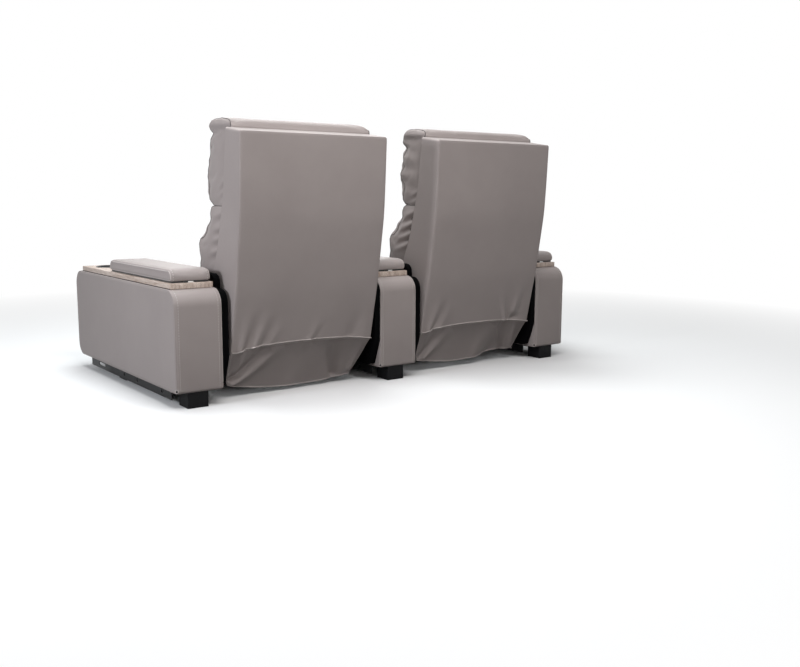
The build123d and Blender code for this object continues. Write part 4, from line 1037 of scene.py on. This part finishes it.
# ---- Back pillows ---------------------------------------------------------
# Two foam pillows cover the front of each back: a head pillow rolled over the top
# of the shell and a lumbar pillow.  Pleats gather their ends beside the shell.
PILLOW_VOXEL = 0.007
PILLOW_PRESSURE = 4.0
PILLOW_LET_IN = 0.008
PILLOW_CAP = 0.024
PILLOW_SHARE = 0.4
HEAD_ENDS = {"left": 1.17, "right": 1.02}  # share of the pillows' depth at their ends
LUMBAR_ENDS = {"left": 1.11, "right": 0.90}
HEAD_SAG = {"left": 0.24, "right": 0.06}  # extra fullness low on the head pillow
HEAD_SAG_Z = 0.758
HEAD_SAG_SPREAD = 0.045
HEAD_SAG_MIDDLE = 0.5  # share of the sag in the pillow's middle
PILLOW_END = (0.12, 0.15)  # where the ends start across the seat, and over what span
CREST_LIFT = 0.008  # the crest stays full up to its ends
CREST_LIFT_Z = (0.965, 0.03)  # from this height, in full after this span
ROLL_FLARE = 0.008  # the roll is wider than the pillow below it
ROLL_FLARE_Z = (0.97, 0.015)
CREASE_Z = 0.700
END_WELT_INSET = 0.011
END_TUCK = 0.009  # the ends turn in where they meet the shell
END_TUCK_REACH = 0.016
ROLL_Z = {"left": 0.957, "right": 0.936}  # fold under the roll along the top
ROLL_NECK = {"left": 0.032, "right": 0.012}  # how deep it cuts in at the ends
ROLL_CORNER = (0.272, 0.090, 0.024)  # the roll's rear corners: from u, forward of, drop
ROLL_SPREAD = 0.024  # the roll's foot runs out wider at the sitters' right
ROLL_SPREAD_Z = (0.955, 0.01)
CREST_Z = 1.009
SHELL_GAP = 0.0004  # between the pillows and the shell's front edge
CHANNEL_U = 0.19  # long quilting seams of back and seat
# Pleats of the ends in mm: forward of the shell and up at start and end, width and height.
HEAD_PLEATS = {
    "left": [(0, 812, 80, 748, 8.5, 6), (0, 790, 95, 722, 7, -6), (0, 768, 110, 714, 8, 7),
             (0, 748, 80, 709, 6, -6), (0, 732, 70, 704, 6.5, 6), (0, 900, 55, 892, 10, -3)],
    "right": [(150, 935, 20, 905, 11, -3.5), (150, 900, 30, 880, 11, 3), (155, 862, 30, 840, 11, -3.5),
              (150, 828, 20, 805, 11, 3), (140, 790, 30, 764, 11, -4), (0, 760, 70, 728, 8, 5),
              (0, 745, 85, 712, 7, -6), (0, 728, 75, 706, 6, 5.5)],
}
# Folds across the front near its ends: z and depth.
LUMBAR_FOLDS = [(0.648, 0.009), (0.676, -0.005), (0.622, -0.006)]
LUMBAR_PLEATS = {
    "left": [(0, 682, 115, 655, 8, 6.5), (0, 662, 90, 640, 7, -6.5), (0, 628, 85, 610, 7.5, 6),
             (0, 608, 80, 592, 7, -7), (0, 588, 85, 574, 7, 6), (0, 566, 85, 548, 7, -7),
             (0, 545, 85, 527, 7, 6), (0, 520, 90, 496, 8, -6.5)],
    "right": [(0, 680, 115, 640, 8.5, 7), (0, 655, 110, 615, 8, -7.5), (0, 632, 110, 594, 7.5, 7),
              (0, 610, 105, 572, 7.5, -7.5), (0, 588, 105, 552, 7.5, 7), (0, 566, 105, 530, 7.5, -7.5),
              (0, 544, 110, 506, 8, 6.5)],
}


def copy_solid(node, name):
    """A copy of a CAD node's mesh with its loose triangles merged."""
    copy = bpy.data.objects.new(name, frame["nodes"][node].data.copy())
    bpy.context.scene.collection.objects.link(copy)
    edit_all(copy, bpy.ops.mesh.remove_doubles, threshold=1e-5)
    return copy


def profile_block(node, name):
    """A straight block with the middle profile of a pillow's solid."""
    low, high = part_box(node)
    middle = (low.x + high.x) / 2
    solid = copy_solid(node, "solid")
    block = slice_of(solid, name, middle + 0.011)
    bpy.data.objects.remove(solid)
    move_to(block, coords_of(block) * (0, 1, 1) + (middle, 0, 0))
    edit_all(block, bpy.ops.mesh.remove_doubles, threshold=1e-5)
    edit_all(block, bpy.ops.mesh.edge_face_add)
    apply_modifier(block, "SOLIDIFY", thickness=high.x - low.x, offset=0)
    return block


def band_at(z):
    """Forward distance of the shell's front edge at height z."""
    return line_at(BAND_LINE, np.minimum(z, SHELL_CREST))


def out_of(co):
    """How far points stand in front of the shell's front edge."""
    return ARM_REAR_Y - co[:, 1] - band_at(co[:, 2])


def pillow_foam(node, low_z, high_z):
    """The settled foam of one back pillow, on the left seat."""
    low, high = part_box(f"left_{node}")
    foam = profile_block(f"left_{node}", f"{node}_foam")

    def held(co):
        return (out_of(co) < 0.006) & (co[:, 2] < SHELL_CREST)

    puff(foam, PILLOW_VOXEL, PILLOW_PRESSURE, PILLOW_CAP, PILLOW_LET_IN, held, PILLOW_SHARE, 8)
    low.z, high.z = low_z, high_z
    move_to(foam, fill_box(coords_of(foam), low, high, (False, True, False)))
    return foam


def pleat_ends(co, u, half, pleats):
    """Moves a pillow's ends in and out by its pleats."""
    out = out_of(co)
    ends = rise(np.abs(u) / half, 0.82, 0.18) ** 1.2
    folds = sum(crease(out, co[:, 2], pleat, 0.7) for pleat in pleats)
    tuck = END_TUCK * bell(np.maximum(out, 0), 0, END_TUCK_REACH)
    co[:, 0] += np.sign(u) * (folds - tuck) * ends
    return co


def quilt(co, u, places, width, depth, axis, sign, where):
    """Presses long seams into the face of a cushion."""
    for place in places:
        co[:, axis] += sign * depth * bell(u, place, width) * where
    return co


def fill_out(co, u, middle, ends):
    """Scales a pillow's depth in front of the shell, from its middle to its ends."""
    out = out_of(co)
    scale = middle + (ends - middle) * rise(np.abs(u), 0.10, 0.18)
    co[:, 1] = ARM_REAR_Y - band_at(co[:, 2]) - out * np.where(out > 0, scale, 1.0)
    return co


def keep_off_shell(co):
    behind = (co[:, 2] < SHELL_CREST) & (out_of(co) < SHELL_GAP)
    co[behind, 1] = ARM_REAR_Y - band_at(co[behind, 2]) - SHELL_GAP
    return co


def on_seat(seat, node, name, foam, shape):
    """The foam's copy on one seat, shaped to fit and made fine."""
    piece = copy_along(foam, f"{seat}_{name}", SEAT_X[seat] - SEAT_X["left"])
    co = coords_of(piece)
    move_to(piece, shape(seat, co, co[:, 0] - SEAT_X[seat], *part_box(f"{seat}_{node}")))
    refine(piece)
    return piece


def shape_head(seat, co, u, low, high):
    half = (high.x - low.x) / 2
    face = rise(out_of(co), 0.05, 0.04)
    ends = rise(np.abs(u), *PILLOW_END)
    co[:, 1] += (0.004 + ROLL_NECK[seat] * ends**2) * bell(co[:, 2], ROLL_Z[seat], 0.011) * face
    co = quilt(co, u, (-CHANNEL_U, CHANNEL_U), 0.006, 0.006, 1, 1, face * (co[:, 2] < ROLL_Z[seat]))
    sag = HEAD_SAG[seat] * bell(co[:, 2], HEAD_SAG_Z, HEAD_SAG_SPREAD)
    co = fill_out(co, u, 1 + sag * HEAD_SAG_MIDDLE, HEAD_ENDS[seat] + sag)
    co = pleat_ends(co, u, half, HEAD_PLEATS[seat])
    corner_u, corner_forward, corner_drop = ROLL_CORNER
    over_shell = fall(ARM_REAR_Y - co[:, 1], corner_forward, 0.05)
    corner = rise(np.abs(u), corner_u, half - corner_u) ** 1.4
    behind = over_shell * rise(co[:, 2], SHELL_CREST, 0.02)
    co[:, 2] -= corner_drop * corner * behind
    co[:, 2] += CREST_LIFT * ends**2 * (1 - behind) * rise(co[:, 2], *CREST_LIFT_Z)
    co[:, 2] = np.minimum(co[:, 2], CREST_Z)
    foot = over_shell * rise(co[:, 2], *ROLL_SPREAD_Z) * fall(co[:, 2], 1.0, 0.02)
    co[:, 0] -= ROLL_SPREAD * ends**2 * foot * (u < 0)
    co[:, 0] += np.sign(u) * ROLL_FLARE * ends**2 * rise(co[:, 2], *ROLL_FLARE_Z)
    co = keep_off_shell(co)
    co[:, 2] = np.maximum(co[:, 2], CREASE_Z + 0.0003)
    return co


def shape_lumbar(seat, co, u, low, high):
    face = rise(out_of(co), 0.06, 0.04)
    co = quilt(co, u, (-CHANNEL_U, CHANNEL_U), 0.006, 0.006, 1, 1, face)
    co = fill_out(co, u, 1.0, LUMBAR_ENDS[seat])
    co = pleat_ends(co, u, (high.x - low.x) / 2, LUMBAR_PLEATS[seat])
    co = keep_off_shell(co)
    for z, depth in LUMBAR_FOLDS:
        co[:, 1] += depth * rise(np.abs(u), *PILLOW_END) * face * bell(co[:, 2], z, 0.012)
    co[:, 2] = np.minimum(co[:, 2], CREASE_Z - 0.0010)
    return co


# Painted shade: the pillows' end welts use a much darker leather that stands in for the shadow in the
# seam's groove.
shaded_seam_leather = leather_finish("shaded_seam_leather", (0.075, 0.066, 0.063, 1), (0.10, 0.088, 0.084, 1))
for node, name, shape, ends_z in (
        ("head_cushion", "head_pillow", shape_head, (CREASE_Z - 0.012, CREST_Z)),
        ("lumbar_cushion", "lumbar_pillow", shape_lumbar, (0.3945, CREASE_Z + 0.012))):
    foam = pillow_foam(node, *ends_z)
    for seat in SEATS:
        pillow = on_seat(seat, node, name, foam, shape)
        paint(pillow, leather)
        trims = end_welts(pillow, f"{seat}_{node}", END_WELT_INSET, None, shaded_seam_leather)
        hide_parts(f"{seat}_{node}")
        for piece in (pillow, *trims):
            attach(piece, f"{seat}_back")
    bpy.data.objects.remove(foam)


# ---- Seat cushions and footrests ------------------------------------------
# A thick foam seat and a footrest pad for each sitter, both with welted ends and
# quilting seams in line with those of the back.
SEAT_VOXEL = 0.009
SEAT_CROWN = 0.004
SEAT_CROSS_SEAM = 0.20  # from the front edge


def seat_foam():
    low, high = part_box("left_seat_cushion")
    foam = copy_solid("left_seat_cushion", "seat_foam")
    puff(foam, SEAT_VOXEL, 4.0, 0.022, 0.008, lambda co: co[:, 2] < low.z + 0.006, 0.5)
    high.z += SEAT_CROWN
    move_to(foam, fill_box(coords_of(foam), low, high))
    return foam


def shape_seat(seat, co, u, low, high):
    top = rise(co[:, 2], high.z - 0.05, 0.02)
    co = quilt(co, u, (-CHANNEL_U, CHANNEL_U), 0.007, 0.008, 2, -1, top)
    between = top * (np.abs(u) < CHANNEL_U)
    return quilt(co, co[:, 1] - low.y, (SEAT_CROSS_SEAM,), 0.007, 0.008, 2, -1, between)


def foot_foam():
    low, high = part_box("left_footrest_pad")
    foam = copy_solid("left_footrest_pad", "foot_foam")
    puff(foam, PILLOW_VOXEL, 4.0, 0.018, 0.006, lambda co: co[:, 1] > high.y - 0.006, 0.5)
    move_to(foam, fill_box(coords_of(foam), low, high))
    return foam


def shape_foot(seat, co, u, low, high):
    face = fall(co[:, 1], low.y + 0.03, 0.02)
    return quilt(co, u, (-CHANNEL_U, CHANNEL_U), 0.007, 0.007, 1, 1, face)


for node, name, foam, shape, body in (
        ("seat_cushion", "seat_pad", seat_foam(), shape_seat, None),
        ("footrest_pad", "foot_pad", foot_foam(), shape_foot, "footrest")):
    for seat in SEATS:
        pad = on_seat(seat, node, name, foam, shape)
        paint(pad, leather)
        trims = end_welts(pad, f"{seat}_{node}", END_WELT_INSET)
        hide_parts(f"{seat}_{node}")
        for piece in (pad, *trims):
            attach(piece, f"{seat}_{body}" if body else "frame")
    bpy.data.objects.remove(foam)


# ---- Studio ---------------------------------------------------------------
# A white floor that fades into a white room, soft lamps over and behind the
# camera, and the camera low behind the row on the sitters' left.
CAMERA_PLACE = (2.177, 3.4248, 0.7521)
CAMERA_YAW = math.radians(37.103)
CAMERA_PITCH = math.radians(-8.741)
CAMERA_ROLL = math.radians(0.344)
CAMERA_LENS = 41.24
CAMERA_SHIFT = -0.0108
FLOOR_FADE = (1.3, 3.6)  # where the floor starts to fade and is all white
FLOOR_LIT = (0.12, 0.12, 0.12, 1)  # the floor's tone for the light that it throws back
FLOOR_SEEN = (0.86, 0.86, 0.86, 1)
ROOM_LIGHT = {"Color": (0.97, 0.98, 1.0, 1), "Strength": 0.215}


def add_camera():
    level, tilt = math.cos(CAMERA_PITCH), math.sin(CAMERA_PITCH)
    ahead = Vector((-math.sin(CAMERA_YAW) * level, -math.cos(CAMERA_YAW) * level, tilt))
    side = ahead.cross(Vector((0, 0, 1))).normalized()
    up = side.cross(ahead)
    right = side * math.cos(CAMERA_ROLL) + up * math.sin(CAMERA_ROLL)
    top = up * math.cos(CAMERA_ROLL) - side * math.sin(CAMERA_ROLL)
    data = bpy.data.cameras.new("camera")
    data.lens = CAMERA_LENS
    data.sensor_width = 36
    data.shift_x = CAMERA_SHIFT
    camera = bpy.data.objects.new("camera", data)
    bpy.context.scene.collection.objects.link(camera)
    turn = Matrix((right, top, -ahead)).transposed().to_4x4()
    camera.matrix_world = Matrix.Translation(CAMERA_PLACE) @ turn
    bpy.context.scene.camera = camera


def shown_rays(tree):
    """1 for the rays that see the room, straight or in a reflection, and 0 for its light."""
    rays = tree.nodes.new("ShaderNodeLightPath")
    seen = rays.outputs["Is Camera Ray"]
    for kind in ("Is Glossy Ray", "Is Transmission Ray"):
        seen = add_node(tree, "Math", {0: seen, 1: rays.outputs[kind]}, operation="MAXIMUM")
    return seen


def add_floor():
    floor = add_shape("studio_floor", bpy.ops.mesh.primitive_circle_add, vertices=96, radius=14,
                      fill_type="NGON", location=(0, 0, -0.0005))
    material, tree, _ = new_material("studio_floor")
    tree.nodes.clear()
    distance = add_node(tree, "VectorMath", {0: place_pattern(tree)}, "Value", operation="LENGTH")
    span = {"Value": distance, "From Min": FLOOR_FADE[0], "From Max": FLOOR_FADE[1]}
    fade = add_node(tree, "MapRange", span, "Result")
    rays = shown_rays(tree)
    white = add_node(tree, "Math", {0: fade, 1: rays}, operation="MULTIPLY")
    paper = add_node(tree, "BsdfDiffuse", {"Color": add_mix(tree, rays, FLOOR_LIT, FLOOR_SEEN)})
    glow = add_node(tree, "Emission", {"Strength": 1.0})
    surface = add_node(tree, "MixShader", {"Fac": white, 1: paper, 2: glow})
    set_inputs(tree, tree.nodes.new("ShaderNodeOutputMaterial"), {"Surface": surface})
    paint(floor, material)


def add_world():
    world = bpy.data.worlds.new("white_room")
    bpy.context.scene.world = world
    world.use_nodes = True
    tree = world.node_tree
    tree.nodes.clear()
    lighting = add_node(tree, "Background", ROOM_LIGHT)
    shown = add_node(tree, "Background", {"Color": (1, 1, 1, 1), "Strength": 1.0})
    surface = add_node(tree, "MixShader", {"Fac": shown_rays(tree), 1: lighting, 2: shown})
    set_inputs(tree, tree.nodes.new("ShaderNodeOutputWorld"), {"Surface": surface})


def add_lamp(name, place, aim, size, power, colour=(1, 1, 1)):
    data = bpy.data.lights.new(name, "AREA")
    data.color = colour
    data.shape = "RECTANGLE"
    data.size, data.size_y = size
    data.energy = power
    lamp = bpy.data.objects.new(name, data)
    bpy.context.scene.collection.objects.link(lamp)
    lamp.location = place
    lamp.rotation_mode = "QUATERNION"
    lamp.rotation_quaternion = (Vector(aim) - Vector(place)).to_track_quat("-Z", "Y")


add_camera()
add_floor()
add_world()
add_lamp("over_backs", (0.55, 1.75, 2.35), (0.1, 0.3, 0.6), (1.9, 0.8), 37, (1.0, 0.985, 0.975))
add_lamp("behind", (1.1, 3.8, 0.7), (0.15, 0.5, 0.35), (2.6, 0.8), 22, (1.0, 0.98, 0.97))
add_lamp("side", (3.2, 0.72, 1.1), (0.4, 0.3, 1.6), (0.6, 0.5), 46, (0.91, 0.94, 1.0))
add_lamp("top", (0.4, -0.3, 3.4), (0.1, 0.0, 0.5), (2.2, 2.0), 97, (0.94, 0.985, 1.0))
add_lamp("front", (-1.6, -3.2, 2.0), (0.0, 0.0, 0.5), (2.4, 2.0), 38)
bpy.context.scene.view_settings.view_transform = "Standard"
